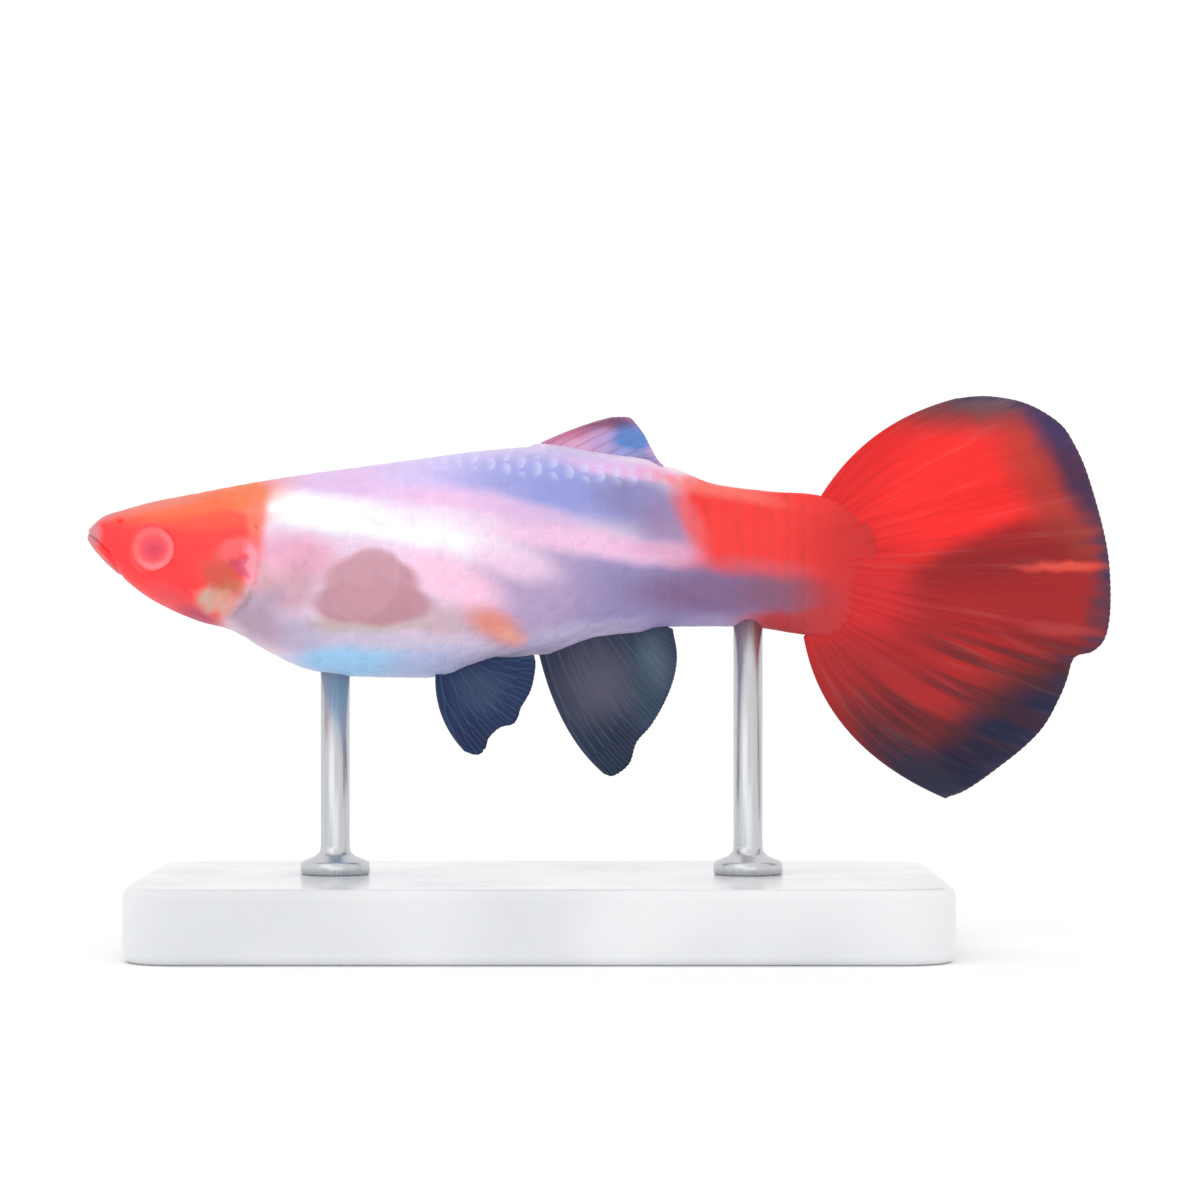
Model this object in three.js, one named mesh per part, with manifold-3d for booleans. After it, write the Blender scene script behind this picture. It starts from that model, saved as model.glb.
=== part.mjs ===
// A life-size female fancy guppy, 56 mm long, on a plain two-rod display stand.
// Millimetres, +Z up. The fish looks along -X and its left side faces -Y.
// The finished group has its origin on the floor, under the middle of the whole model.
import * as THREE from "three";
import { mergeVertices } from "three/addons/utils/BufferGeometryUtils.js";
import Module from "manifold-3d";

const wasm = await Module();
wasm.setup();

// Driving sizes. A fish point is measured from the tip of the snout, x back and z up from the midline.
const GAP = 0.3; // clearance between neighbouring solids
const SLIVER = 0.005; // edges shorter than this are closed up after a cut
const MIDLINE_HEIGHT = 21; // midline of the fish above the floor
const NOSE_RADIUS = 1.2; // roundness of the snout seen from the side and from above
const BODY_END = 45; // the lofted body runs past the tail root and is cut there
const SIDE_REACH = 12; // half width of the cutting blocks
const CUT_REACH = 7; // how far the cutting blocks run above and below the midline
const CUT_FRONT = -3; // and ahead of the snout

// Body sections: distance from the snout, height of the back, of the belly and of the
// widest line, and half width.
const SECTIONS = [
  { at: 0.0, back: 2.45, belly: 0.85, widest: 1.6, half: 1.3 },
  { at: 0.9, back: 2.72, belly: 0.2, widest: 1.35, half: 1.6 },
  { at: 1.8, back: 2.98, belly: -0.6, widest: 1.1, half: 1.9 },
  { at: 3.6, back: 3.48, belly: -1.95, widest: 0.8, half: 2.3 },
  { at: 6.2, back: 3.97, belly: -3.12, widest: 0.4, half: 2.75 },
  { at: 8.0, back: 4.32, belly: -3.6, widest: 0.0, half: 2.98 },
  { at: 9.7, back: 4.62, belly: -4.62, widest: -0.4, half: 3.2 },
  { at: 12.3, back: 5.02, belly: -5.78, widest: -0.9, half: 3.6 },
  { at: 15.0, back: 5.38, belly: -6.14, widest: -1.2, half: 3.85 },
  { at: 18.5, back: 5.86, belly: -6.2, widest: -1.2, half: 3.75 },
  { at: 22.0, back: 6.3, belly: -5.4, widest: -0.8, half: 3.2 },
  { at: 24.7, back: 6.48, belly: -4.85, widest: -0.4, half: 2.75 },
  { at: 28.2, back: 5.95, belly: -3.68, widest: 0.1, half: 2.25 },
  { at: 31.9, back: 5.4, belly: -3.4, widest: 0.3, half: 1.9 },
  { at: 34.4, back: 4.47, belly: -3.38, widest: 0.25, half: 1.7 },
  { at: 36.1, back: 4.2, belly: -3.4, widest: 0.2, half: 1.55 },
  { at: 38.6, back: 3.98, belly: -3.72, widest: 0.1, half: 1.35 },
  { at: 41.0, back: 3.95, belly: -4.2, widest: 0.0, half: 1.05 },
  { at: 45.0, back: 4.6, belly: -5.2, widest: 0.0, half: 0.5 },
];
const SECTION_SQUARENESS = 0.9; // 1 is an ellipse, less is boxier
const STATIONS = 40;
const STATION_CROWDING = 1.45; // 1 spaces the stations evenly, more crowds them at the snout
const RING_SIDES = 24;

// Cuts between the flesh nodes, seen from the left side
const GILL_OPENING = [[10.0, CUT_REACH], [9.9, 4.7], [9.3, 3.0], [9.55, 1.6], [9.6, 0], [9.2, -1.6],
  [8.2, -2.8], [7.0, -3.6], [6.6, -5], [6.5, -CUT_REACH]];
const STEM_CUT = [[33.4, CUT_REACH], [33.2, 4], [32.8, 0.5], [33.0, -3], [33.2, -CUT_REACH]];
const TAIL_ROOT = [[40.0, CUT_REACH], [40.5, 4.0], [41.7, 2.4], [42.3, 0], [41.5, -2.3], [39.25, -3.9],
  [38.1, -CUT_REACH]];
const MOUTH_LINE = [[-1.0, 1.9], [0.0, 1.75], [0.55, 1.4], [1.25, 0.75]];
const JAW_BACK = [[1.25, 0.75], [1.7, 0.0], [1.95, -1.2], [2.1, -2.5]];

// Gill cover: a plate let into the side of the head, standing a little proud of it
const GILL_COVER_FRONT = [[9.25, 2.45], [8.2, 2.5], [6.9, 2.1], [6.2, 1.1], [6.05, -0.4], [6.3, -1.9],
  [6.95, -3.1]];
const GILL_COVER_PROUD = 0.12;
const GILL_COVER_THICKNESS = 0.55;
const GILL_COVER_INNER = 1; // the covers keep this far from the middle plane

// Eye: a flattened ball with its centre inside the head
const EYE = { at: 3.78, side: 1.75, up: 0.84, radius: 1.2, depth: 0.85 };
const NOSTRIL = { at: 1.95, up: 2.45, radius: 0.2 };
const LIP = { radius: 0.2, reach: 1.1, upper: 0.24, lower: -0.26 }; // reach runs back, upper and lower rise

// Fins: half thickness of the membrane from root to margin, and how far a ray stands out of each face
const FIN_ROOT_HALF = 0.32;
const FIN_HALF = 0.25;
const FIN_EDGE_HALF = 0.16;
const FIN_ROOT_SHARE = 0.25; // the root thins to the membrane over this share of a ray
const FIN_EDGE_SHARE = 0.8; // and the margin thins from here on
const RAY_HEIGHT = 0.1;
const RAY_TAPER = 0.55;
const EDGE_RAY_SHARE = 0.4; // height of the outermost rays
const FORK_SPREAD = 0.12; // how gradually a ray splits in two

// Stand
const BASE = { length: 44, width: 24, height: 4, cornerRadius: 3, bevel: 0.6 };
const ROD_RADIUS = 0.8;
const ROD_FOOT = { radius: 1.9, height: 1.0, neck: 0.3 };
const ROD_SINK = 0.6; // the rod is cut to the belly from this much above it
const ROD_PLACES = { front: 13.6, rear: 36.3 };

// Smooth function of `at` through the rows' values under a key, with limited slopes so that it never
// overshoots.
function smoothThrough(rows, key) {
  const slope = rows.slice(1).map((row, i) => (row[key] - rows[i][key]) / (row.at - rows[i].at));
  const tangent = rows.map((_, i) => {
    if (i === 0) return slope[0];
    if (i === rows.length - 1) return slope[i - 1];
    const product = slope[i - 1] * slope[i];
    return product <= 0 ? 0 : (2 * product) / (slope[i - 1] + slope[i]);
  });
  return (at) => {
    let i = rows.findIndex((row) => row.at > at) - 1;
    if (i < -1) i = rows.length - 2;
    i = Math.max(0, i);
    const span = rows[i + 1].at - rows[i].at;
    const u = (at - rows[i].at) / span;
    const rise = rows[i + 1][key] - rows[i][key];
    const bend = u * (1 - u) * ((1 - u) * (tangent[i] * span - rise) - u * (tangent[i + 1] * span - rise));
    return rows[i][key] + u * rise + bend;
  };
}

const back = smoothThrough(SECTIONS, "back");
const belly = smoothThrough(SECTIONS, "belly");
const widest = smoothThrough(SECTIONS, "widest");
const half = smoothThrough(SECTIONS, "half");

// How far the rounded snout has opened at a distance from its tip, 0 to 1
function noseShare(at) {
  const left = Math.max(0, 1 - at / NOSE_RADIUS);
  return Math.sqrt(1 - left * left);
}

// A point of the body's skin. turn is 0 on the right side, a quarter on the back; swell moves it outwards.
function bodyPoint(at, turn, swell = 0) {
  const share = noseShare(at);
  const middle = widest(at);
  const c = Math.cos(turn);
  const s = Math.sin(turn);
  const width = half(at) * share + swell;
  const height = (s > 0 ? back(at) - middle : middle - belly(at)) * share + swell;
  const shaped = (v) => Math.sign(v) * Math.abs(v) ** SECTION_SQUARENESS;
  return new THREE.Vector3(at, width * shaped(c), middle + height * shaped(s));
}

// Half width of the body at a distance from the snout and a height
function halfWidthAt(at, up) {
  const share = noseShare(at);
  const middle = widest(at);
  const height = (up > middle ? back(at) - middle : middle - belly(at)) * share;
  const s = Math.min(1, Math.abs(up - middle) / height) ** (1 / SECTION_SQUARENESS);
  return half(at) * share * Math.sqrt(1 - s * s) ** SECTION_SQUARENESS;
}

// Triangle meshes and the closed solids made of them
function geometryOf(points, faces) {
  const geometry = new THREE.BufferGeometry();
  const numbers = points.flatMap((p) => [p.x, p.y, p.z]);
  geometry.setAttribute("position", new THREE.Float32BufferAttribute(numbers, 3));
  geometry.setIndex(faces.flat());
  return geometry;
}

function solidOf(geometry) {
  const bare = geometry.clone();
  bare.deleteAttribute("normal");
  bare.deleteAttribute("uv");
  const merged = mergeVertices(bare, 1e-4);
  return new wasm.Manifold(new wasm.Mesh({
    numProp: 3,
    vertProperties: new Float32Array(merged.attributes.position.array),
    triVerts: new Uint32Array(merged.index.array),
  }));
}

// The largest closed surface of a solid, without its slivers
function geometryFrom(solid) {
  const largest = solid.decompose().reduce((a, b) => (b.volume() > a.volume() ? b : a));
  const mesh = largest.asOriginal().simplify(SLIVER).getMesh();
  const geometry = new THREE.BufferGeometry();
  geometry.setAttribute("position", new THREE.BufferAttribute(new Float32Array(mesh.vertProperties), 3));
  geometry.setIndex(new THREE.BufferAttribute(new Uint32Array(mesh.triVerts), 1));
  geometry.computeVertexNormals();
  return geometry;
}

// The whole lofted body, swollen outwards by an amount
function bodySolid(swell = 0) {
  const [stations, sides] = [STATIONS, RING_SIDES];
  const points = [new THREE.Vector3(-swell, 0, widest(0))];
  const faces = [];
  for (let i = 1; i <= stations; i += 1) {
    const at = BODY_END * (i / stations) ** STATION_CROWDING;
    for (let j = 0; j < sides; j += 1) points.push(bodyPoint(at, (j / sides) * Math.PI * 2, swell));
  }
  const end = points.push(new THREE.Vector3(BODY_END, 0, widest(BODY_END))) - 1;
  const ring = (i, j) => 1 + i * sides + (j % sides);
  for (let j = 0; j < sides; j += 1) {
    faces.push([0, ring(0, j + 1), ring(0, j)]);
    faces.push([end, ring(stations - 1, j), ring(stations - 1, j + 1)]);
    for (let i = 0; i < stations - 1; i += 1) {
      faces.push([ring(i, j), ring(i, j + 1), ring(i + 1, j)]);
      faces.push([ring(i, j + 1), ring(i + 1, j + 1), ring(i + 1, j)]);
    }
  }
  return solidOf(geometryOf(points, faces));
}

// Points of a side-view curve, moved sideways by an amount: positive moves it towards the tail on a
// curve that runs downwards.
function sideCurve(points, offset = 0, steps = 14) {
  const curve = new THREE.SplineCurve(points.map(([x, z]) => new THREE.Vector2(x, z)));
  return Array.from({ length: steps + 1 }, (_, i) => {
    const p = curve.getPoint(i / steps);
    const t = curve.getTangent(i / steps);
    return new THREE.Vector2(p.x - t.y * offset, p.y + t.x * offset);
  });
}

// A closed side-view outline extruded across the fish, from one side position to another
function block(outline, fromY = -SIDE_REACH, toY = SIDE_REACH) {
  const shape = new THREE.Shape(outline);
  const geometry = new THREE.ExtrudeGeometry(shape, { depth: toY - fromY, bevelEnabled: false });
  geometry.rotateX(Math.PI / 2);
  geometry.translate(0, toY, 0);
  return solidOf(geometry);
}

function corner(x, z) {
  return new THREE.Vector2(x, z);
}

// A ball stretched along each axis
function ball(x, y, z, rx, ry, rz, sides = 16) {
  const geometry = new THREE.SphereGeometry(1, sides, Math.round(sides * 0.7));
  geometry.scale(rx, ry, rz);
  geometry.translate(x, y, z);
  return solidOf(geometry);
}

// A round roll along a curve in space
function roll(points, radius, steps, sides = 6) {
  const ringShape = new THREE.Shape();
  ringShape.absarc(0, 0, radius, 0, Math.PI * 2, false);
  const path = new THREE.CatmullRomCurve3(points);
  const options = { steps, curveSegments: sides, extrudePath: path };
  return solidOf(new THREE.ExtrudeGeometry(ringShape, options));
}

// Flesh: head, jaw, gill covers, trunk and tail stem
const wholeBody = bodySolid();
const clearBody = bodySolid(GAP);

const headBlock = block([
  corner(CUT_FRONT, CUT_REACH), corner(CUT_FRONT, -CUT_REACH), ...sideCurve(GILL_OPENING, -GAP / 2).reverse(),
]);
const trunkBlock = block([...sideCurve(GILL_OPENING, GAP / 2), ...sideCurve(STEM_CUT, -GAP / 2).reverse()]);
const stemBlock = block([...sideCurve(STEM_CUT, GAP / 2), ...sideCurve(TAIL_ROOT).reverse()]);

function jawBlock(offset) {
  const upper = sideCurve(MOUTH_LINE, offset, 8);
  const rear = sideCurve(JAW_BACK, offset, 6).slice(1);
  const front = [corner(CUT_FRONT, JAW_BACK.at(-1)[1]), corner(CUT_FRONT, MOUTH_LINE[0][1])];
  return block([...upper, ...rear, ...front]);
}

// The lips follow the mouth line round the snout, a little above or below it.
function lip(rise) {
  const line = MOUTH_LINE.map(([at, up]) => ({ at, up }));
  const mouthHeight = smoothThrough(line, "up");
  const points = [];
  const steps = 12;
  for (let i = 0; i <= steps; i += 1) {
    const side = (i / steps) * 2 - 1;
    const at = LIP.reach * side * side;
    const out = Math.sign(side) * (half(at) * noseShare(at) - LIP.radius * 0.35);
    points.push(new THREE.Vector3(at + LIP.radius, out, mouthHeight(at) + rise));
  }
  return roll(points, LIP.radius, 18);
}

function gillCoverOutline(grow) {
  const front = sideCurve(GILL_COVER_FRONT, -grow, 12);
  const rear = sideCurve(GILL_OPENING, grow > 0 ? GAP : -GAP / 2, 28);
  const used = rear.filter((p) => p.y < front[0].y - 0.2 && p.y > front[12].y + 0.2);
  return [...front, ...used.reverse()];
}

// The sideways range of the cuts on one side of the head
function sideRange(side) {
  return side < 0 ? [-SIDE_REACH, -GILL_COVER_INNER] : [GILL_COVER_INNER, SIDE_REACH];
}

function gillCover(side) {
  const outline = block(gillCoverOutline(0), ...sideRange(side));
  const plate = bodySolid(GILL_COVER_PROUD).intersect(outline);
  return plate.subtract(bodySolid(GILL_COVER_PROUD - GILL_COVER_THICKNESS));
}

function gillPocket(side) {
  const floor = bodySolid(GILL_COVER_PROUD - GILL_COVER_THICKNESS - GAP);
  return block(gillCoverOutline(GAP), ...sideRange(side)).subtract(floor);
}

function headSolid() {
  let head = wholeBody.intersect(headBlock).subtract(jawBlock(GAP / 2));
  head = head.add(lip(LIP.upper).subtract(jawBlock(GAP / 2)));
  for (const side of [-1, 1]) {
    const room = EYE.radius + GAP;
    head = head.subtract(ball(EYE.at, side * EYE.side, EYE.up, room, EYE.depth + GAP, room));
    const nostrilSide = side * halfWidthAt(NOSTRIL.at, NOSTRIL.up);
    const r = NOSTRIL.radius;
    head = head.subtract(ball(NOSTRIL.at, nostrilSide, NOSTRIL.up, r * 1.4, r * 1.4, r, 8));
    head = head.subtract(gillPocket(side));
  }
  return head;
}

function jawSolid() {
  const jaw = jawBlock(-GAP / 2);
  return wholeBody.intersect(jaw).add(lip(LIP.lower).intersect(jaw));
}

// Fins. A fin is a fan of rays; each ray is a bent line from the root curve to the margin curve.
// rays, rows: how many; fork: where each ray splits in two, as a share of its length, or 1 for never.
function finSolid({ rays, rows, fork = 1, root, bend, margin, sway }) {
  const strands = fork < 1 ? [-0.5, -0.17, 0, 0.17] : [-0.5, -0.16, 0.16];
  const columns = rays * strands.length + 1;
  const centre = (s, t) => {
    const a = root(s);
    const b = bend(s);
    const c = margin(s);
    const p = new THREE.Vector3();
    p.addScaledVector(a, (1 - t) * (1 - t)).addScaledVector(b, 2 * t * (1 - t)).addScaledVector(c, t * t);
    return p.add(sway(s, t));
  };
  const faceUp = (s, t) => {
    const e = 0.004;
    const along = centre(s, Math.min(1, t + e)).sub(centre(s, Math.max(0, t - e)));
    const across = centre(Math.min(1, s + e), t).sub(centre(Math.max(0, s - e), t));
    return along.cross(across).normalize();
  };
  const placeOf = (column, t) => {
    const ray = Math.floor(column / strands.length);
    const k = column % strands.length;
    if (ray >= rays) return { s: 1, peak: 0 };
    let offset = strands[k];
    let peak = k === 0 ? 0 : 1;
    if (fork < 1) {
      const split = THREE.MathUtils.smoothstep(t, fork - FORK_SPREAD, fork + FORK_SPREAD);
      offset *= k === 0 ? 1 : 0.7 + 0.8 * split;
      if (k === 2) peak = 1 - split;
    }
    return { s: (ray + 0.5 + offset) / rays, peak };
  };
  const front = [];
  const rear = [];
  for (let row = 0; row <= rows; row += 1) {
    const t = row / rows;
    const toMargin = Math.max(0, (t - FIN_EDGE_SHARE) / (1 - FIN_EDGE_SHARE));
    const membrane = t < FIN_ROOT_SHARE
      ? mix(FIN_ROOT_HALF, FIN_HALF, t / FIN_ROOT_SHARE)
      : mix(FIN_HALF, FIN_EDGE_HALF, toMargin);
    for (let column = 0; column < columns; column += 1) {
      const { s, peak } = placeOf(column, t);
      const p = centre(s, t);
      const n = faceUp(s, t);
      const ridge = column === 0 || column === columns - 1 ? EDGE_RAY_SHARE : peak;
      const thick = membrane + RAY_HEIGHT * ridge * (1 - RAY_TAPER * t);
      front.push(p.clone().addScaledVector(n, thick));
      rear.push(p.clone().addScaledVector(n, -thick));
    }
  }
  return solidOf(sheetGeometry(front, rear, rows, columns));
}

// Closes two alike grids of points into one thin body, with the same diagonals on both faces
function sheetGeometry(front, rear, rows, columns) {
  const faces = [];
  const offset = front.length;
  const id = (row, column) => row * columns + column;
  for (let row = 0; row < rows; row += 1) {
    for (let column = 0; column < columns - 1; column += 1) {
      const [a, b] = [id(row, column), id(row, column + 1)];
      const [c, d] = [id(row + 1, column + 1), id(row + 1, column)];
      faces.push([a, c, b], [a, d, c]);
      faces.push([offset + a, offset + b, offset + c], [offset + a, offset + c, offset + d]);
    }
  }
  const rim = [];
  for (let column = 0; column < columns; column += 1) rim.push(id(0, column));
  for (let row = 1; row <= rows; row += 1) rim.push(id(row, columns - 1));
  for (let column = columns - 2; column >= 0; column -= 1) rim.push(id(rows, column));
  for (let row = rows - 1; row > 0; row -= 1) rim.push(id(row, 0));
  rim.forEach((a, i) => {
    const b = rim[(i + 1) % rim.length];
    faces.push([a, b, offset + b], [a, offset + b, offset + a]);
  });
  return geometryOf([...front, ...rear], faces);
}

// A curve of the fish's side view as a function of a share of its length
function sideLine(points) {
  const knots = points.map(([x, z]) => new THREE.Vector3(x, 0, z));
  const line = new THREE.CatmullRomCurve3(knots, false, "centripetal");
  return (s) => line.getPointAt(THREE.MathUtils.clamp(s, 0, 1));
}

function mix(a, b, share) {
  return a + (b - a) * share;
}

// The middle of a ray, half way from its root to its margin and moved by a bow in the side view
function bowed(root, margin, s, behind, up) {
  const p = root(s).lerp(margin(s), 0.5);
  p.x += behind;
  p.z += up;
  return p;
}

// How far a fin waves sideways: nothing at the root, most at the margin
function ripple(s, t, { depth, turn, from = 0 }) {
  return depth * t * t * Math.sin(s * turn + from);
}

// Dorsal fin, half folded so that its rays sweep back
const DORSAL = {
  rays: 7, rows: 7, rootFront: 24.5, rootEnd: 30.4,
  margin: [[28.9, 8.1], [29.7, 8.15], [30.05, 7.85], [30.5, 7.2], [30.9, 6.5], [31.2, 6.05], [31.45, 5.85]],
  bowFront: 0.35, bowRear: -0.1,
  wave: { depth: 0.5, turn: 4.2 },
};
function dorsalFin() {
  const margin = sideLine(DORSAL.margin);
  const root = (s) => {
    const at = mix(DORSAL.rootFront, DORSAL.rootEnd, s);
    return new THREE.Vector3(at, 0, back(at) + GAP);
  };
  const bend = (s) => bowed(root, margin, s, 0, mix(DORSAL.bowFront, DORSAL.bowRear, s));
  const sway = (s, t) => new THREE.Vector3(0, ripple(s, t, DORSAL.wave), 0);
  return finSolid({ ...DORSAL, root, bend, margin, sway });
}

// Anal fin, a rounded fan as females have
const ANAL = {
  rays: 9, rows: 8, fork: 0.6, rootFront: 24.9, rootEnd: 30.6,
  margin: [[28.35, -11.4], [28.85, -11.5], [29.75, -10.8], [30.1, -9.75], [30.85, -8.8], [31.6, -7.5],
    [32.05, -6.1], [32.15, -4.9], [31.9, -3.85]],
  bowBack: -0.8, bowDown: -1.5,
  wave: { depth: 0.55, turn: 5, from: -0.6 },
};
function analFin() {
  const margin = sideLine(ANAL.margin);
  const root = (s) => {
    const at = mix(ANAL.rootFront, ANAL.rootEnd, s);
    return new THREE.Vector3(at, 0, belly(at) - GAP);
  };
  const bend = (s) => bowed(root, margin, s, ANAL.bowBack * (1 - s), ANAL.bowDown * (1 - s) ** 2);
  const sway = (s, t) => new THREE.Vector3(0, ripple(s, t, ANAL.wave), 0);
  return finSolid({ ...ANAL, root, bend, margin, sway });
}

// Caudal fin: a fan with soft folds, its lower lobe stepped back behind the upper one
const CAUDAL = {
  rays: 15, rows: 12, fork: 0.52,
  rootTop: 4.05, rootBottom: -4.1,
  margin: [[47.8, 9.15], [49.6, 9.35], [51.7, 9.0], [53.6, 7.95], [54.6, 6.6], [55.5, 4.85], [56.1, 2.9],
    [56.4, 0.3], [56.3, -2.0], [55.9, -3.9], [55.2, -4.75], [54.25, -5.1], [53.9, -6.3], [53.45, -7.4],
    [52.4, -9.2], [50.2, -11.2], [48.5, -12.5], [47.4, -12.98]],
  upperBow: [42.9, 8.0],
  lowerBow: [40.45, -10.0],
  bowShare: 0.3, // the outer shares of the fan that the bows round off
};

// Depth of its folds: two broad waves that grow towards the margin, two sharper creases, and a lean
// to one side
const CAUDAL_WAVES = [{ depth: 1.5, turn: 8.2, from: -0.9 }, { depth: 0.5, turn: 19, from: 0.5 }];
const CAUDAL_CREASES = [{ at: 0.34, depth: 0.9 }, { at: 0.6, depth: -0.8 }];
const CREASE_WIDTH = 0.05;
const FOLD_GROWTH = 1.4;
const CAUDAL_LEAN = 0.9;

function caudalSway(s, t) {
  let depth = 0;
  for (const wave of CAUDAL_WAVES) depth += wave.depth * Math.sin(s * wave.turn + wave.from);
  for (const crease of CAUDAL_CREASES) {
    const away = (s - crease.at) / CREASE_WIDTH;
    depth += crease.depth * Math.exp(-away * away);
  }
  return new THREE.Vector3(0, t ** FOLD_GROWTH * depth + CAUDAL_LEAN * t * t, 0);
}

function caudalFin() {
  const margin = sideLine(CAUDAL.margin);
  const stemEnd = sideCurve(TAIL_ROOT, GAP, 40);
  const rootLine = stemEnd.filter((p) => p.y < CAUDAL.rootTop && p.y > CAUDAL.rootBottom);
  const root = sideLine(rootLine.map((p) => [p.x, p.y]));
  const [upperX, upperZ] = CAUDAL.upperBow;
  const [lowerX, lowerZ] = CAUDAL.lowerBow;
  const bend = (s) => {
    const p = bowed(root, margin, s, 0, 0);
    p.lerp(new THREE.Vector3(upperX, 0, upperZ), Math.max(0, 1 - s / CAUDAL.bowShare) ** 2);
    return p.lerp(new THREE.Vector3(lowerX, 0, lowerZ), Math.max(0, 1 - (1 - s) / CAUDAL.bowShare) ** 2);
  };
  return finSolid({ ...CAUDAL, root, bend, margin, sway: caudalSway });
}

// Paired fins are laid out flat in the side view and then leant out from the body about their root.
const PELVIC = {
  rays: 6, rows: 7,
  root: [[19.2, -5.3], [20.2, -5.2], [21.5, -4.9]],
  margin: [[20.8, -10.15], [21.4, -10.35], [21.8, -10.2], [22.0, -9.6], [22.7, -8.9], [23.5, -8.65],
    [23.8, -7.9], [24.3, -6.9], [24.55, -5.6]],
  bowBack: -1.15, bowDownFront: -0.45, bowDownRear: -0.3,
  side: 0.95, leanFront: 1.85, leanRear: 0.84, // how far out the root and the first and last ray's tips stand
  wave: { depth: 0.25, turn: 7 },
};
const PECTORAL = {
  rays: 8, rows: 6,
  root: [[10.9, 0.3], [11.0, -0.4], [10.8, -1.2]],
  margin: [[16.3, 1.3], [17.2, 0.7], [17.6, -0.3], [17.4, -1.4], [16.7, -2.4], [15.4, -3.2]],
  rootAt: 10.9, rootUp: -0.5, rootSink: 0.1, lean: 3.3,
  wave: { depth: 0.2, turn: 9 },
};

function pelvicFin(side) {
  const root = sideLine(PELVIC.root);
  const margin = sideLine(PELVIC.margin);
  const bend = (s) => bowed(
    root, margin, s, PELVIC.bowBack * (1 - s) ** 2, mix(PELVIC.bowDownFront, PELVIC.bowDownRear, s),
  );
  const sway = (s, t) => {
    const out = PELVIC.side + mix(PELVIC.leanFront, PELVIC.leanRear, s) * t + ripple(s, t, PELVIC.wave);
    return new THREE.Vector3(0, side * out, 0);
  };
  return finSolid({ ...PELVIC, root, bend, margin, sway }).subtract(clearBody);
}

function pectoralFin(side) {
  const root = sideLine(PECTORAL.root);
  const margin = sideLine(PECTORAL.margin);
  const bend = (s) => bowed(root, margin, s, 0, 0);
  const rootSide = halfWidthAt(PECTORAL.rootAt, PECTORAL.rootUp) - PECTORAL.rootSink;
  const sway = (s, t) => {
    const out = rootSide + PECTORAL.lean * t + ripple(s, t, PECTORAL.wave);
    return new THREE.Vector3(0, side * out, 0);
  };
  return finSolid({ ...PECTORAL, root, bend, margin, sway }).subtract(clearBody);
}

// Stand
function baseSolid(centre) {
  const { length, width, height, cornerRadius: r, bevel } = BASE;
  const shape = new THREE.Shape();
  const [x, y] = [length / 2 - bevel, width / 2 - bevel];
  shape.moveTo(-x + r, -y).lineTo(x - r, -y).absarc(x - r, -y + r, r, -Math.PI / 2, 0, false);
  shape.lineTo(x, y - r).absarc(x - r, y - r, r, 0, Math.PI / 2, false);
  shape.lineTo(-x + r, y).absarc(-x + r, y - r, r, Math.PI / 2, Math.PI, false);
  shape.lineTo(-x, -y + r).absarc(-x + r, -y + r, r, Math.PI, Math.PI * 1.5, false);
  const options = {
    depth: height - 2 * bevel, bevelSize: bevel, bevelThickness: bevel, bevelSegments: 2, curveSegments: 6,
  };
  const geometry = new THREE.ExtrudeGeometry(shape, options);
  geometry.translate(centre, 0, bevel);
  return solidOf(geometry);
}

// A rod with a turned foot, its top hollowed to follow the belly at the usual gap
function rodSolid(at) {
  const bottom = BASE.height + GAP;
  const top = MIDLINE_HEIGHT + belly(at) + ROD_SINK;
  const { radius, height, neck } = ROD_FOOT;
  const profile = [
    [0, bottom], [radius, bottom], [radius, bottom + height * 0.6], [ROD_RADIUS + neck, bottom + height],
    [ROD_RADIUS, bottom + height + neck], [ROD_RADIUS, top], [0, top],
  ];
  const rod = new THREE.LatheGeometry(profile.map(([x, y]) => new THREE.Vector2(x, y)), 16);
  rod.rotateX(Math.PI / 2);
  rod.translate(at, 0, 0);
  return solidOf(rod).subtract(clearBody.translate([0, 0, MIDLINE_HEIGHT]));
}

// Materials
function finish(color, roughness, metalness = 0) {
  return new THREE.MeshStandardMaterial({ color, roughness, metalness });
}
const HEAD_RED = finish("#f2553f", 0.4);
const BODY_PEARL = finish("#d9b9d6", 0.35);
const TAIL_RED = finish("#e23a32", 0.4);
const FIN_SLATE = finish("#36476a", 0.45);
const FIN_CLEAR = finish("#f0dfe2", 0.4);
const DORSAL_ROSE = finish("#b98fb4", 0.4);
const EYE_PINK = finish("#e24a5c", 0.15);
const STAND_WHITE = finish("#eeeef0", 0.4);
const ROD_STEEL = finish("#c2c4c6", 0.3, 1);

// Assembly
const model = new THREE.Group();
const fish = new THREE.Group();
fish.position.z = MIDLINE_HEIGHT;
model.add(fish);

function place(parent, name, solid, material) {
  const mesh = new THREE.Mesh(geometryFrom(solid), material);
  mesh.name = name;
  parent.add(mesh);
}

place(fish, "head", headSolid(), HEAD_RED);
place(fish, "lower_jaw", jawSolid(), HEAD_RED);
place(fish, "trunk", wholeBody.intersect(trunkBlock), BODY_PEARL);
place(fish, "tail_stem", wholeBody.intersect(stemBlock), TAIL_RED);
place(fish, "dorsal_fin", dorsalFin(), DORSAL_ROSE);
place(fish, "anal_fin", analFin(), FIN_SLATE);
place(fish, "caudal_fin", caudalFin(), TAIL_RED);
for (const [name, side] of [["left", -1], ["right", 1]]) {
  const eye = ball(EYE.at, side * EYE.side, EYE.up, EYE.radius, EYE.depth, EYE.radius, 20);
  place(fish, `eye_${name}`, eye, EYE_PINK);
  place(fish, `gill_cover_${name}`, gillCover(side), HEAD_RED);
  place(fish, `pelvic_fin_${name}`, pelvicFin(side), FIN_SLATE);
  place(fish, `pectoral_fin_${name}`, pectoralFin(side), FIN_CLEAR);
}

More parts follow.
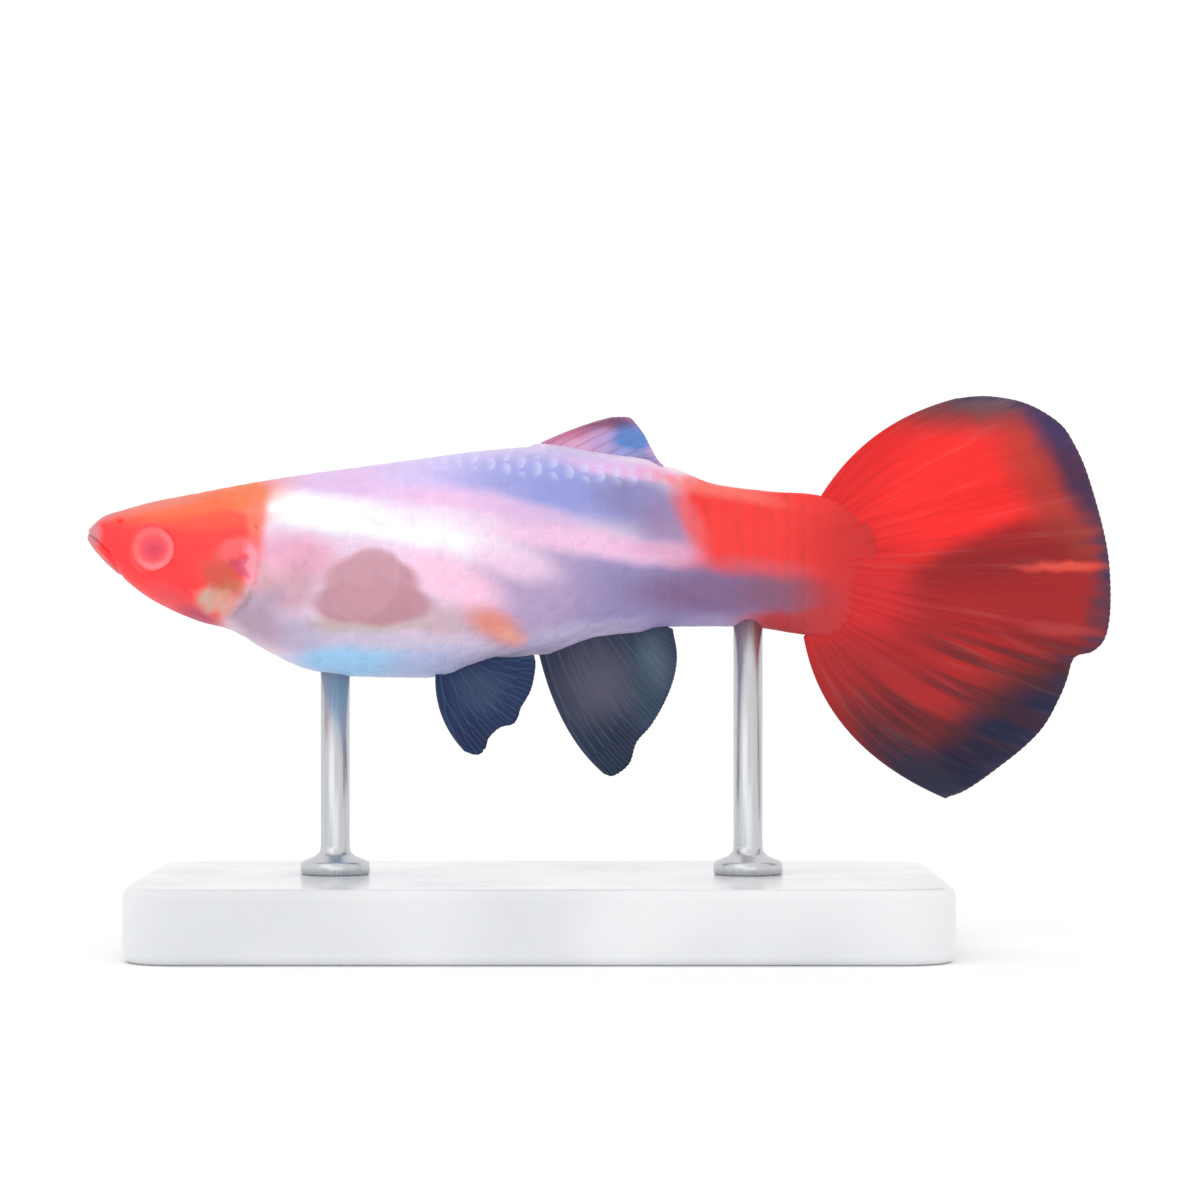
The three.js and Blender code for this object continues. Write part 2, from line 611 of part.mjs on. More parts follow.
const baseCentre = (ROD_PLACES.front + ROD_PLACES.rear) / 2;
place(model, "stand_base", baseSolid(baseCentre), STAND_WHITE);
place(model, "stand_rod_front", rodSolid(ROD_PLACES.front), ROD_STEEL);
place(model, "stand_rod_rear", rodSolid(ROD_PLACES.rear), ROD_STEEL);

// The origin goes to the middle of the whole model's length
const reach = new THREE.Box3().setFromObject(model);
for (const child of model.children) child.position.x -= (reach.min.x + reach.max.x) / 2;

export default model;
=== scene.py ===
# A life-size female fancy guppy, red in front and behind and pearly white between,
# held over a plain white base by two steel rods.
# Lengths of the fish are millimetres in the fish's own frame: x back from the tip of the
# snout, y towards the fish's right side, z up from its midline.
import math
import random
from bisect import bisect_right
from functools import lru_cache

import bmesh
import bpy
from mathutils import Matrix, Vector


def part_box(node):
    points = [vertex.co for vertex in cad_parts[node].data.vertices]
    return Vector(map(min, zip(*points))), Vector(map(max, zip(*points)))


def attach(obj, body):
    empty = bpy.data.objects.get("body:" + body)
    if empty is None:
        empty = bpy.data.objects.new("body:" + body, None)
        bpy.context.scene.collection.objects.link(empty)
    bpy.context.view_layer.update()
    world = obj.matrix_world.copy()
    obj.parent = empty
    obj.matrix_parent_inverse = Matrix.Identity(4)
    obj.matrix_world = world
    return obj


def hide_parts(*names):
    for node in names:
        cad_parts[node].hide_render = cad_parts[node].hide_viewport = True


bl_info = {
    "name": "Fancy guppy on a display stand",
    "version": (1, 0, 0),
    "blender": (4, 5, 0),
    "location": "View3D > Sidebar > Guppy",
    "description": "Makes the skin, scales, eyes, fins and stand of a life-size guppy model",
    "category": "Add Mesh",
}

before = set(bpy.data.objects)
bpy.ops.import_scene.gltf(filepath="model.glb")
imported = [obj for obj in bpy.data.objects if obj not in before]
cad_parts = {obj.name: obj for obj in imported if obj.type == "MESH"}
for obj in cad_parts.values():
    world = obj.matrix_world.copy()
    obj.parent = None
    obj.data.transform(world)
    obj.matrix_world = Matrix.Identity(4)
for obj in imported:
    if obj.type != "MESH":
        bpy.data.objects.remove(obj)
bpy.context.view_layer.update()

MM = 0.001
CURVE_SAMPLES = 160
GIRTH_SAMPLES = 72
SKIN_WELD = 0.004  # points of the skin or a fin that lie closer than this are made one
FIN_WELD = 0.0005
MIDLINE_HEIGHT = 21.0
ROD_AT = {"stand_rod_front": 13.6, "stand_rod_rear": 36.3}


def middle_of(node):
    """The middle of a CAD node's box, in metres."""
    low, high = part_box(node)
    return (Vector(low) + Vector(high)) / 2


# The fish's frame hangs from the front rod, whose place along the fish is known.
FISH_ORIGIN = Vector((
    middle_of("stand_rod_front").x - ROD_AT["stand_rod_front"] * MM, 0.0, MIDLINE_HEIGHT * MM,
))

# Body sections: distance from the snout, back, belly, widest line, half width
SECTIONS = (
    (0.0, 2.45, 0.85, 1.6, 1.3), (0.9, 2.72, 0.2, 1.35, 1.6), (1.8, 2.98, -0.6, 1.1, 1.9),
    (3.6, 3.48, -1.95, 0.8, 2.3), (6.2, 3.97, -3.12, 0.4, 2.75), (8.0, 4.32, -3.6, 0.0, 2.98),
    (9.7, 4.62, -4.62, -0.4, 3.2), (12.3, 5.02, -5.78, -0.9, 3.6), (15.0, 5.38, -6.14, -1.2, 3.85),
    (18.5, 5.86, -6.2, -1.2, 3.75), (22.0, 6.3, -5.4, -0.8, 3.2), (24.7, 6.48, -4.85, -0.4, 2.75),
    (28.2, 5.95, -3.68, 0.1, 2.25), (31.9, 5.4, -3.4, 0.3, 1.9), (34.4, 4.47, -3.38, 0.25, 1.7),
    (36.1, 4.2, -3.4, 0.2, 1.55), (38.6, 3.98, -3.72, 0.1, 1.35), (41.0, 3.95, -4.2, 0.0, 1.05),
    (45.0, 4.6, -5.2, 0.0, 0.5),
)
SECTION_SQUARENESS = 0.9
RING_CROWDING = 1.3  # above 1 the skin's rings lie closer together towards the snout
NOSE_RADIUS = 1.2
TAIL_ROUND_FROM = 38.6  # the fleshy tail root rounds off from here
TAIL_ROUND_END = 43.4
TAIL_ROUNDNESS = 2.4
TAIL_THIN_FROM = 35.5  # and thins from here until it is as flat as the tail fin
TAIL_THINNING = 0.93

MOUTH_LINE = ((0.0, 1.75), (0.55, 1.4), (1.25, 0.75), (1.9, -0.1))
MOUTH_SLANT = 0.76  # turns a height over the slanting mouth line into a distance from it
MOUTH_FOLD = ((1.3, 0.7), (1.75, -0.1), (1.95, -1.1))
GILL_OPENING = (
    (9.9, 4.7), (9.3, 3.0), (9.55, 1.6), (9.6, 0.0), (9.2, -1.6), (8.2, -2.8), (7.0, -3.6), (6.6, -5.0),
)
CHEEK_EDGE = ((6.5, 2.3), (6.1, 1.0), (6.0, -0.6), (6.4, -1.9), (7.0, -2.8))
EYE = Vector((3.88, 1.76, 0.87))
EYE_RADII = Vector((1.52, 0.84, 1.52))
CORNEA_RADII = Vector((1.46, EYE_RADII.y + 0.04, 1.46))
SIDES = {-1: "left", 1: "right"}
NOSTRIL = Vector((1.95, 0.0, 2.4))
VENT_AT = 23.6
SCALED_FROM = 5.4
SCALED_LENGTH = 33.6
SCALE_SINK = 0.03  # a scale's edge lies this far under the skin
SCALE_THICKNESS = 0.02
SCALE_REACH = 1.02  # half a scale's length, in steps from one column to the next
SCALE_SPREAD = 0.6  # half a scale's width, in steps from one row to the next
SMALLEST_SCALE = 0.65  # size of the foremost scales beside the largest
BAKE_PATCH = 0.0015  # half the side of a scale's own patch on the baking map
PECTORAL_ROOT = Vector((10.9, 3.1, -0.45))

# Heights of the skin's relief over the smooth body, and depths under it
UPPER_LIP = 0.07
LOWER_LIP = 0.08
MOUTH_DEPTH = 0.2
MOUTH_FOLD_DEPTH = 0.07
NOSTRIL_DEPTH = 0.26
NOSTRIL_RIM = 0.06
SOCKET_DEPTH = 0.75
SOCKET_RIM = 0.05
GILL_COVER_HEIGHT = 0.12
SHOULDER_DEPTH = 0.1
CHEEK_STEP = 0.03
THROAT_FOLD = 0.16
THROAT_SIDE_FOLD = 0.05
DORSAL_ROOT_HEIGHT = 0.22
ANAL_ROOT_HEIGHT = 0.24
PELVIC_ROOT_HEIGHT = 0.16
PECTORAL_ROOT_HEIGHT = 0.2
VENT_HEIGHT = 0.3


def smooth_step(low, high, value):
    """0 below low, 1 above high, and an even S between them."""
    share = min(1.0, max(0.0, (value - low) / (high - low)))
    return share * share * (3 - 2 * share)


def bump(value, width):
    """A soft bell, 1 at zero."""
    return math.exp(-((value / width) ** 2))


def smooth_through(rows, column):
    """A function of the first column that passes through another one and never overshoots."""
    at = [row[0] for row in rows]
    value = [row[column] for row in rows]
    slope = [(value[i + 1] - value[i]) / (at[i + 1] - at[i]) for i in range(len(rows) - 1)]
    tangent = [slope[0]]
    for before, after in zip(slope, slope[1:]):
        tangent.append(0.0 if before * after <= 0 else 2 * before * after / (before + after))
    tangent.append(slope[-1])

    def through(place):
        i = min(len(rows) - 2, max(0, bisect_right(at, place) - 1))
        span = at[i + 1] - at[i]
        u = (place - at[i]) / span
        rise = value[i + 1] - value[i]
        bend = u * (1 - u) * ((1 - u) * (tangent[i] * span - rise) - u * (tangent[i + 1] * span - rise))
        return value[i] + u * rise + bend

    return through


back, belly, widest, half = (smooth_through(SECTIONS, column) for column in (1, 2, 3, 4))
mouth_height = smooth_through(MOUTH_LINE, 1)


def curve_through(points):
    """A function from 0..1 to a point on a smooth side-view curve, even in length."""
    knots = [Vector((x, 0.0, z)) for x, z in points]
    knots = [2 * knots[0] - knots[1], *knots, 2 * knots[-1] - knots[-2]]
    steps = CURVE_SAMPLES // (len(knots) - 3) + 1
    line = []
    for i in range(1, len(knots) - 2):
        a, b, c, d = knots[i - 1 : i + 3]
        for j in range(steps):
            t = j / steps
            line.append(0.5 * (2 * b + (c - a) * t + (2 * a - 5 * b + 4 * c - d) * t**2
                               + (3 * b - a - 3 * c + d) * t**3))
    line.append(knots[-2])
    run = [0.0]
    for before, after in zip(line, line[1:]):
        run.append(run[-1] + (after - before).length)

    def at_share(share):
        wanted = min(1.0, max(0.0, share)) * run[-1]
        i = min(len(line) - 2, max(0, bisect_right(run, wanted) - 1))
        span = run[i + 1] - run[i]
        return line[i].lerp(line[i + 1], (wanted - run[i]) / span if span else 0.0)

    return at_share


@lru_cache(maxsize=4000)
def section(at):
    """Middle height, half width, and the heights above and below the middle, at a distance."""
    left = max(0.0, 1 - at / NOSE_RADIUS)
    share = math.sqrt(1 - left * left)
    if at > TAIL_ROUND_FROM:
        run = min(1.0, (at - TAIL_ROUND_FROM) / (TAIL_ROUND_END - TAIL_ROUND_FROM))
        share = (1 - run**TAIL_ROUNDNESS) ** (1 / TAIL_ROUNDNESS)
    middle = widest(at)
    thin = 1 - TAIL_THINNING * smooth_step(TAIL_THIN_FROM, TAIL_ROUND_END, at)
    return middle, half(at) * share * thin, (back(at) - middle) * share, (middle - belly(at)) * share


def body_point(at, turn):
    """A point of the smooth body: turn is 0 on the right side and a quarter on the back."""
    middle, width, above, below = section(at)
    c, s = math.cos(turn), math.sin(turn)
    across = math.copysign(abs(c) ** SECTION_SQUARENESS, c)
    up = math.copysign(abs(s) ** SECTION_SQUARENESS, s)
    return Vector((at, width * across, middle + (above if s > 0 else below) * up))


def half_width_at(at, up):
    """Half width of the body at a distance from the snout and a height."""
    middle, width, above, below = section(at)
    height = above if up > middle else below
    s = min(1.0, abs(up - middle) / height) ** (1 / SECTION_SQUARENESS)
    return width * math.sqrt(1 - s * s) ** SECTION_SQUARENESS


def distance_to(line, x, z):
    """Distance in the side view from a point to a line of points, positive behind it."""
    best = 99.0
    for (ax, az), (bx, bz) in zip(line, line[1:]):
        dx, dz = bx - ax, bz - az
        share = min(1.0, max(0.0, ((x - ax) * dx + (z - az) * dz) / (dx * dx + dz * dz)))
        px, pz = x - ax - share * dx, z - az - share * dz
        away = math.hypot(px, pz)
        if away < abs(best):
            best = math.copysign(away, dx * pz - dz * px)
    return best


def sampled(points, count=28):
    """A smooth curve's points as plain pairs."""
    curve = curve_through(points)
    return [(curve(i / count).x, curve(i / count).z) for i in range(count + 1)]


GILL_EDGE = sampled(GILL_OPENING)
CHEEK_LINE = sampled(CHEEK_EDGE, 12)


def head_relief(p):
    """How far the skin of the head stands out from the smooth body."""
    out = 0.0
    x, y, z = p
    side = abs(y)
    if x < 2.6:
        # The mouth slit with a rolled lip above and below it
        away = (z - mouth_height(x)) * MOUTH_SLANT
        fade = 1 - smooth_step(1.15, 1.75, x)
        tip = 0.35 + 0.65 * smooth_step(0.0, 0.5, x)
        out += fade * tip * (UPPER_LIP * bump(away - 0.22, 0.14) + LOWER_LIP * bump(away + 0.22, 0.15))
        out -= fade * tip * MOUTH_DEPTH * bump(away, 0.055)
        # A fold runs down from the corner of the mouth
        out -= MOUTH_FOLD_DEPTH * bump(distance_to(MOUTH_FOLD, x, z), 0.12)
        nostril = math.hypot(x - NOSTRIL.x, (z - NOSTRIL.z) * 1.3)
        out -= NOSTRIL_DEPTH * bump(nostril, 0.14)
        out += NOSTRIL_RIM * bump(nostril - 0.27, 0.09)
    if 1.6 < x < 6.2 and side > 1.0:
        # The socket that the eye sits in, with a soft rim of skin close round the globe
        away = math.hypot(x - EYE.x, z - EYE.z)
        out -= SOCKET_DEPTH * (1 - smooth_step(0.95, 1.22, away))
        out += SOCKET_RIM * bump(away - 1.32, 0.16)
    if 4.5 < x < 11.0:
        # The gill cover stands proud and drops to the shoulder at the gill opening
        away = distance_to(GILL_EDGE, x, z)
        level = smooth_step(3.1, 2.3, z) * smooth_step(-3.3, -2.2, z)
        inside = smooth_step(-1.6, -0.25, away) * (1 - smooth_step(-0.09, 0.03, away))
        behind = smooth_step(-0.05, 0.05, away) * (1 - smooth_step(0.05, 0.75, away))
        out += level * (GILL_COVER_HEIGHT * inside - SHOULDER_DEPTH * behind)
        cheek = distance_to(CHEEK_LINE, x, z)
        out += level * CHEEK_STEP * smooth_step(0.5, 0.05, cheek) * smooth_step(-0.6, -0.02, cheek)
        out -= level * CHEEK_STEP * bump(cheek - 0.1, 0.16)
    if x < 9.5 and z < 0:
        # The throat folds where the two gill covers meet
        middle_run = smooth_step(2.6, 3.6, x) * smooth_step(9.5, 7.6, x)
        side_run = smooth_step(3.0, 4.2, x) * smooth_step(8.6, 7.0, x)
        out -= THROAT_FOLD * bump(y, 0.14) * middle_run
        out -= THROAT_SIDE_FOLD * bump(side - 0.75, 0.12) * side_run
    return out


def trunk_relief(p):
    """How far the skin stands out at the fin roots and the vent."""
    x, y, z = p
    side = abs(y)
    out = 0.0
    if z > 3.0:
        dorsal_run = smooth_step(24.0, 24.9, x) * smooth_step(31.6, 30.6, x)
        out += DORSAL_ROOT_HEIGHT * bump(side, 0.42) * dorsal_run
    if z < -2.0:
        anal_run = smooth_step(24.4, 25.3, x) * smooth_step(31.4, 30.2, x)
        out += ANAL_ROOT_HEIGHT * bump(side, 0.4) * anal_run
        out += VENT_HEIGHT * bump(math.hypot(x - VENT_AT, side * 1.4), 0.55)
        out += PELVIC_ROOT_HEIGHT * bump(math.hypot((x - 19.9) * 0.7, side - 1.1), 0.45)
    root = math.hypot(x - PECTORAL_ROOT.x - 0.2, (z - PECTORAL_ROOT.z) * 0.75)
    if side > 1.5:
        out += PECTORAL_ROOT_HEIGHT * (bump(root, 0.75) - 0.5 * bump(root - 1.2, 0.3))
    return out


def relief(p):
    """The skin's whole relief over the smooth body, in millimetres."""
    out = trunk_relief(p)
    if p.x < 11.0:
        out += head_relief(p)
    return out


def metres(p):
    """A point of the fish's frame in the model's own frame, in metres."""
    return FISH_ORIGIN + Vector(p) * MM


# Settings of nodes that mix colours, and that map a value in an even S
COLOUR = {"data_type": "RGBA"}
SOFT = {"interpolation_type": "SMOOTHSTEP"}


def linear(hex_colour):
    """An sRGB hex colour as linear red, green, blue and a full alpha."""
    code = hex_colour.lstrip("#")
    parts = [int(code[i : i + 2], 16) / 255 for i in (0, 2, 4)]
    return (*[c / 12.92 if c <= 0.04045 else ((c + 0.055) / 1.055) ** 2.4 for c in parts], 1.0)


def add_node(tree, kind, inputs=None, output=None, **settings):
    """Adds a node, sets its settings, and sets or links its inputs by name or number. Gives the
    node, or the one output that is asked for."""
    made = tree.nodes.new("ShaderNode" + kind)
    for name, value in settings.items():
        setattr(made, name, value)
    for key, value in (inputs or {}).items():
        socket = made.inputs[key]
        if isinstance(value, bpy.types.NodeSocket):
            tree.links.new(value, socket)
        else:
            socket.default_value = value
    return made if output is None else made.outputs[output]


def new_material(name):
    """An empty material, and its node tree."""
    material = bpy.data.materials.new(name)
    material.use_nodes = True
    material.node_tree.nodes.clear()
    return material, material.node_tree


def surfaced(tree, inputs):
    """Ends a material in one shader with these values and links."""
    shader = add_node(tree, "BsdfPrincipled", inputs, 0)
    add_node(tree, "OutputMaterial", {"Surface": shader})


def grains(millimetres):
    """The noise scale whose grains are about a length across."""
    return 1 / (millimetres * MM)


def tinted(tree, under, over, pattern, low, high, least=0.0, most=1.0, within=None):
    """Lays one colour over another as a pattern's value runs from low to high, in an even S from
    the least share to the most. Another share may hold it within bounds."""
    share = add_node(tree, "MapRange", {0: pattern, 1: low, 2: high, 3: least, 4: most}, 0, **SOFT)
    if within is not None:
        share = add_node(tree, "Math", {0: within, 1: share}, 0, operation="MULTIPLY")
    return add_node(tree, "Mix", {0: share, 6: under, 7: over}, 2, **COLOUR)


def side_place(tree, wander, grain):
    """Object coordinates flattened to the side view and made to wander, by up to a length in
    millimetres, in a noise of a given grain."""
    where = add_node(tree, "TexCoord", output="Object")
    flat = add_node(tree, "VectorMath", {0: where, 1: (1, 0, 1)}, 0, operation="MULTIPLY")
    noise = add_node(tree, "TexNoise", {"Vector": where, "Scale": grains(grain), "Detail": 3.0}, 1)
    shift = add_node(tree, "VectorMath", {0: noise, 1: (0.5, 0.5, 0.5)}, 0, operation="SUBTRACT")
    reach = 2 * wander * MM
    grown = add_node(tree, "VectorMath", {0: shift, 1: (reach, 0, reach)}, 0, operation="MULTIPLY")
    return add_node(tree, "VectorMath", {0: flat, 1: grown}, 0, operation="ADD")


def patched_share(tree, place, x, z, length, height, rise, soft, strength=1.0):
    """The share of a soft oval patch: its middle and half lengths in the side view, its rise
    towards the tail in degrees, its softness and its strength."""
    middle = metres((x, 0, z))
    local = add_node(tree, "Mapping", {
        "Vector": place, "Location": (middle.x, 0, middle.z),
        "Rotation": (0, -math.radians(rise), 0), "Scale": (length * MM, 1, height * MM),
    }, 0, vector_type="TEXTURE")
    away = add_node(tree, "VectorMath", {0: local}, 1, operation="LENGTH")
    return add_node(tree, "MapRange", {0: away, 1: 1 - soft, 2: 1 + soft, 3: strength, 4: 0.0}, 0, **SOFT)


def patched(tree, colour, place, patches):
    """A colour with soft oval patches laid over it, one over another."""
    for hex_colour, *shape in patches:
        share = patched_share(tree, place, *shape)
        colour = add_node(tree, "Mix", {0: share, 6: colour, 7: linear(hex_colour)}, 2, **COLOUR)
    return colour


# Markings of the body, with a painted highlight, in the side view: colour, middle x and z, half length, half
# height, rise, softness, strength. Later ones lie over earlier ones.
TRUNK_PATCHES = (
    ("#9A8CBC", 29.5, -1.6, 8.5, 3.0, 3, 0.5, 1.0),       # lavender lower flank
    ("#B69EC2", 24.4, -1.8, 3.0, 2.6, 10, 0.6, 0.9),
    ("#84749E", 35.2, -1.3, 6.0, 1.7, 0, 0.6, 0.9),       # darker violet behind
    ("#E0BAE4", 13.4, 4.5, 5.6, 1.3, 8, 0.6, 0.95),       # lavender pink back
    ("#D2C0F0", 19.4, 4.7, 3.2, 1.6, 4, 0.6, 0.95),
    ("#9C9EDC", 24.8, 4.4, 4.4, 1.9, -3, 0.6, 0.95),      # periwinkle back
    ("#9094D4", 27.6, 3.6, 3.2, 1.2, -12, 0.6, 0.85),
    ("#847EB0", 30.4, 3.4, 2.5, 1.5, -18, 0.6, 0.9),      # slate violet before the tail stem
    ("#967AA4", 32.0, 2.2, 1.6, 1.3, -20, 0.6, 0.8),
    ("#E2B4E4", 29.4, 5.2, 3.0, 0.42, -9, 0.6, 0.95),     # pink band under the dorsal root
    ("#F4C2E8", 20.4, 3.3, 4.4, 0.8, -9, 0.7, 0.85),      # pink edge over the white band
    ("#DCB4DC", 25.0, 2.3, 3.2, 0.7, -14, 0.7, 0.8),
    ("#FFFFFF", 12.9, 2.9, 4.4, 1.0, -10, 0.5, 1.0),      # pure white band, pearly and partly a painted highlight
    ("#FFFFFF", 19.0, 1.5, 4.0, 0.8, -11, 0.55, 1.0),
    ("#FDF0FC", 16.4, 2.6, 6.0, 0.8, -6, 0.7, 0.7),
    ("#F4C0E0", 27.8, 1.1, 5.4, 0.62, -8, 0.7, 0.95),     # pink lateral stripe
    ("#DE9CBC", 33.4, 0.6, 3.4, 0.5, -6, 0.8, 0.8),
    ("#F4D2EC", 17.4, 0.4, 3.0, 0.8, 0, 0.7, 0.8),
    ("#FFC8E2", 20.2, -1.0, 2.8, 1.2, -22, 0.55, 0.95),   # pink side
    ("#F4CCE8", 23.4, 0.2, 2.4, 0.9, -16, 0.6, 0.85),
    ("#EAA2BE", 11.9, 0.4, 2.2, 1.2, -10, 0.6, 0.9),
    ("#CC98A8", 11.3, -1.5, 1.6, 1.3, 20, 0.6, 0.8),
    ("#BFA698", 15.0, -3.3, 3.0, 0.7, 2, 0.6, 0.8),       # olive-beige line under the dome
    ("#CBAAB2", 19.2, -3.0, 2.0, 0.9, -8, 0.6, 0.8),
    ("#C28A98", 15.8, -2.1, 3.2, 1.25, 0, 0.16, 0.95),    # mauve gut dome, narrow at its top
    ("#C68C9A", 15.8, -1.0, 2.6, 1.4, 0, 0.18, 0.9),
    ("#CA92A0", 15.8, -0.2, 1.5, 1.0, 0, 0.22, 0.9),
    ("#B4A8C8", 12.0, -4.0, 2.2, 0.9, -25, 0.7, 0.85),
    ("#CCC0DA", 16.6, -4.3, 4.4, 0.6, -3, 0.7, 0.8),
    ("#A4D2F8", 15.2, -5.4, 3.8, 0.85, -2, 0.45, 1.0),    # sky-blue belly
    ("#B8BCE4", 19.0, -5.5, 2.6, 0.9, 6, 0.6, 0.85),
    ("#B4A8CC", 23.6, -4.9, 2.6, 0.6, 12, 0.6, 0.85),     # lavender underside
    ("#CABEDE", 27.6, -3.7, 2.8, 0.55, 6, 0.7, 0.85),
    ("#B898AC", 9.2, -3.0, 1.9, 1.0, -32, 0.6, 0.95),     # grey-lavender breast
    ("#B69CB2", 9.8, -1.9, 1.0, 0.9, 0, 0.6, 0.8),
    ("#DCA4AE", 9.7, -0.7, 0.8, 0.9, 0, 0.6, 0.7),
    ("#EA8C7C", 22.4, -3.3, 1.5, 0.75, -28, 0.75, 0.95),  # orange spot above the vent
    ("#F4A898", 23.3, -4.0, 0.8, 0.4, -20, 0.7, 0.8),
)
TAIL_PATCHES = (
    ("#F03632", 40.8, 1.6, 7.6, 3.8, 0, 0.12, 1.0),
    ("#F03632", 35.0, 3.0, 2.7, 2.2, -30, 0.3, 1.0),
    ("#F27064", 34.4, 4.2, 3.4, 0.45, -12, 0.7, 0.8),
    ("#E46870", 33.0, 2.6, 0.5, 1.6, 30, 0.8, 0.6),
    ("#B4363A", 41.2, -3.0, 4.6, 1.9, -4, 0.3, 1.0),
    ("#D8505C", 36.8, -0.2, 3.6, 0.45, -3, 0.8, 0.85),
    ("#80628A", 34.8, -1.55, 4.2, 1.1, -2, 0.5, 1.0),
    ("#86566E", 38.4, -1.5, 2.4, 0.85, 0, 0.6, 0.9),
    ("#9C4450", 41.2, -1.5, 2.0, 0.8, 0, 0.8, 0.7),
    ("#B23238", 38.4, -3.3, 2.4, 0.5, -4, 0.6, 0.9),
    ("#C82626", 44.4, 0.6, 4.6, 4.8, 0, 0.5, 1.0),  # the tail fin's own red at its root
)
HEAD_PATCHES = (
    ("#F83C40", 3.4, 0.2, 5.6, 4.6, 0, 0.1, 1.0),
    ("#FA4240", 7.6, 1.2, 2.2, 2.4, 0, 0.3, 1.0),
    ("#F47048", 6.4, 3.7, 4.4, 1.2, 10, 0.45, 1.0),  # orange crown
    ("#EE7848", 9.0, 3.9, 1.1, 0.9, 0, 0.5, 0.9),
    ("#E07C70", 4.0, 3.3, 2.4, 0.35, 13, 0.7, 0.8),
    ("#FF5A44", 7.4, 2.4, 2.4, 0.5, 4, 0.7, 0.8),
    ("#FA7C60", 9.5, 2.6, 0.5, 1.3, 0, 0.6, 0.85),
    ("#E85056", 5.4, -2.3, 2.0, 0.7, -30, 0.7, 0.8),
    ("#BC4664", 6.3, -3.0, 1.0, 0.45, -25, 0.8, 0.95),
    ("#C88890", 0.2, 1.8, 0.55, 0.8, 20, 0.6, 0.9),  # grey-pink snout tip
    ("#D07878", 1.3, 2.9, 1.2, 0.35, 25, 0.7, 0.8),
    ("#C07074", 1.1, 0.1, 1.4, 0.25, -45, 0.8, 0.7),
)
# Finer blotches of the gill cover, with more ragged edges
GILL_PATCHES = (
    ("#C8584A", 7.6, -0.4, 1.1, 0.9, 10, 0.6, 0.8),
    ("#B87452", 8.1, -1.3, 0.9, 0.5, 0, 0.6, 0.7),
    ("#FC6C72", 8.3, 0.9, 0.9, 0.5, 40, 0.6, 0.8),
    ("#FF9CAC", 9.2, 0.1, 0.4, 1.1, 0, 0.6, 0.85),
    ("#CC4868", 8.7, -0.1, 0.28, 0.5, 30, 0.6, 0.8),
    ("#D6A494", 7.3, -2.0, 1.0, 0.75, -10, 0.6, 0.9),  # cream fleck low on the cover
    ("#C6B2A2", 6.9, -1.9, 0.4, 0.3, 0, 0.7, 0.7),
)


SKIN_GRAIN = 0.12
SKIN_MOTTLE = 0.9
BACK_BAND = (25.5, 5.3, 6.6, 0.55, -5, 0.45)  # where single scales show, in painted highlights and shade, as a patch


def body_colour(tree, ground):
    """The fish's markings and the white band's painted highlight as one colour, the same on the skin and on
    the scales.
    """
    place = side_place(tree, 0.35, 2.6)
    colour = patched(tree, ground, place, TRUNK_PATCHES)
    colour = patched(tree, colour, place, TAIL_PATCHES)
    colour = patched(tree, colour, place, HEAD_PATCHES)
    return patched(tree, colour, side_place(tree, 0.6, 0.9), GILL_PATCHES)


def finish_flesh(tree, colour):
    """Living skin under a thin wet film: clear highlights over a soft, faintly see-through layer."""
    where = add_node(tree, "TexCoord", output="Object")
    fine = add_node(tree, "TexNoise", {"Vector": where, "Scale": grains(SKIN_GRAIN), "Detail": 4.0}, 0)
    broad = add_node(tree, "TexNoise", {"Vector": where, "Scale": grains(SKIN_MOTTLE), "Detail": 3.0}, 0)
    dusky = add_node(tree, "Mix", {0: 0.5, 6: colour, 7: linear("#404060")}, 2,
                     blend_type="MULTIPLY", **COLOUR)
    surfaced(tree, {
        "Base Color": tinted(tree, colour, dusky, broad, 0.5, 0.8, 0.0, 0.18),
        "Roughness": add_node(tree, "MapRange", {0: broad, 1: 0.3, 2: 0.7, 3: 0.4, 4: 0.55}, 0, **SOFT),
        "IOR": 1.4, "Specular IOR Level": 0.35, "Coat Weight": 0.08, "Coat Roughness": 0.15,
        "Subsurface Weight": 0.12, "Subsurface Radius": (0.9, 0.35, 0.25), "Subsurface Scale": 0.0006,
        "Normal": add_node(tree, "Bump", {"Strength": 0.25, "Distance": 0.03 * MM, "Height": fine}, 0),
    })


def skin_material(ground):
    """Bare guppy skin: thin, slimy and backed by pearly guanine."""
    material, tree = new_material("guanine_skin")
    finish_flesh(tree, body_colour(tree, ground))
    return material


def scale_material(ground):
    """Cycloid scales: clear bony plates that take the skin's colour, palest at their free edge where a
    highlight is painted.
    """
    material, tree = new_material("cycloid_scale")
    colour = body_colour(tree, ground)
    plate = add_node(tree, "UVMap", output=0, uv_map="Plate")
    along = add_node(tree, "SeparateXYZ", {0: plate}, 0)
    # A faint painted highlight whitens each scale's free edge
    colour = tinted(tree, colour, linear("#FFFFFF"), along, 0.72, 0.95, 0.0, 0.04)
    # Along the back the pale tips are painted highlights and the dark pockets between them painted shade
    ridge = patched_share(tree, side_place(tree, 0.05, 1.0), *BACK_BAND)
    dark = tinted(tree, colour, linear("#7C78B4"), along, 0.45, 0.2, 0.0, 0.4, within=ridge)
    pale = tinted(tree, dark, linear("#DCE0FF"), along, 0.5, 0.85, 0.0, 0.45, within=ridge)
    finish_flesh(tree, pale)
    return material


# Mesh helpers
def finished(name, bm, material, replaces=()):
    """Turns a bmesh in the fish's frame into an object of the model, riding on its body."""
    for vert in bm.verts:
        vert.co = metres(vert.co)
    return finished_in_place(name, bm, material, replaces)


def finished_in_place(name, bm, material, replaces=()):
    """Turns a bmesh that is already in metres into an object of the model."""
    mesh = bpy.data.meshes.new(name)
    bm.to_mesh(mesh)
    bm.free()
    mesh.materials.append(material)
    mesh.shade_smooth()
    piece = bpy.data.objects.new(name, mesh)
    bpy.context.collection.objects.link(piece)
    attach(piece, "root")
    if replaces:
        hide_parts(*replaces)
    return piece


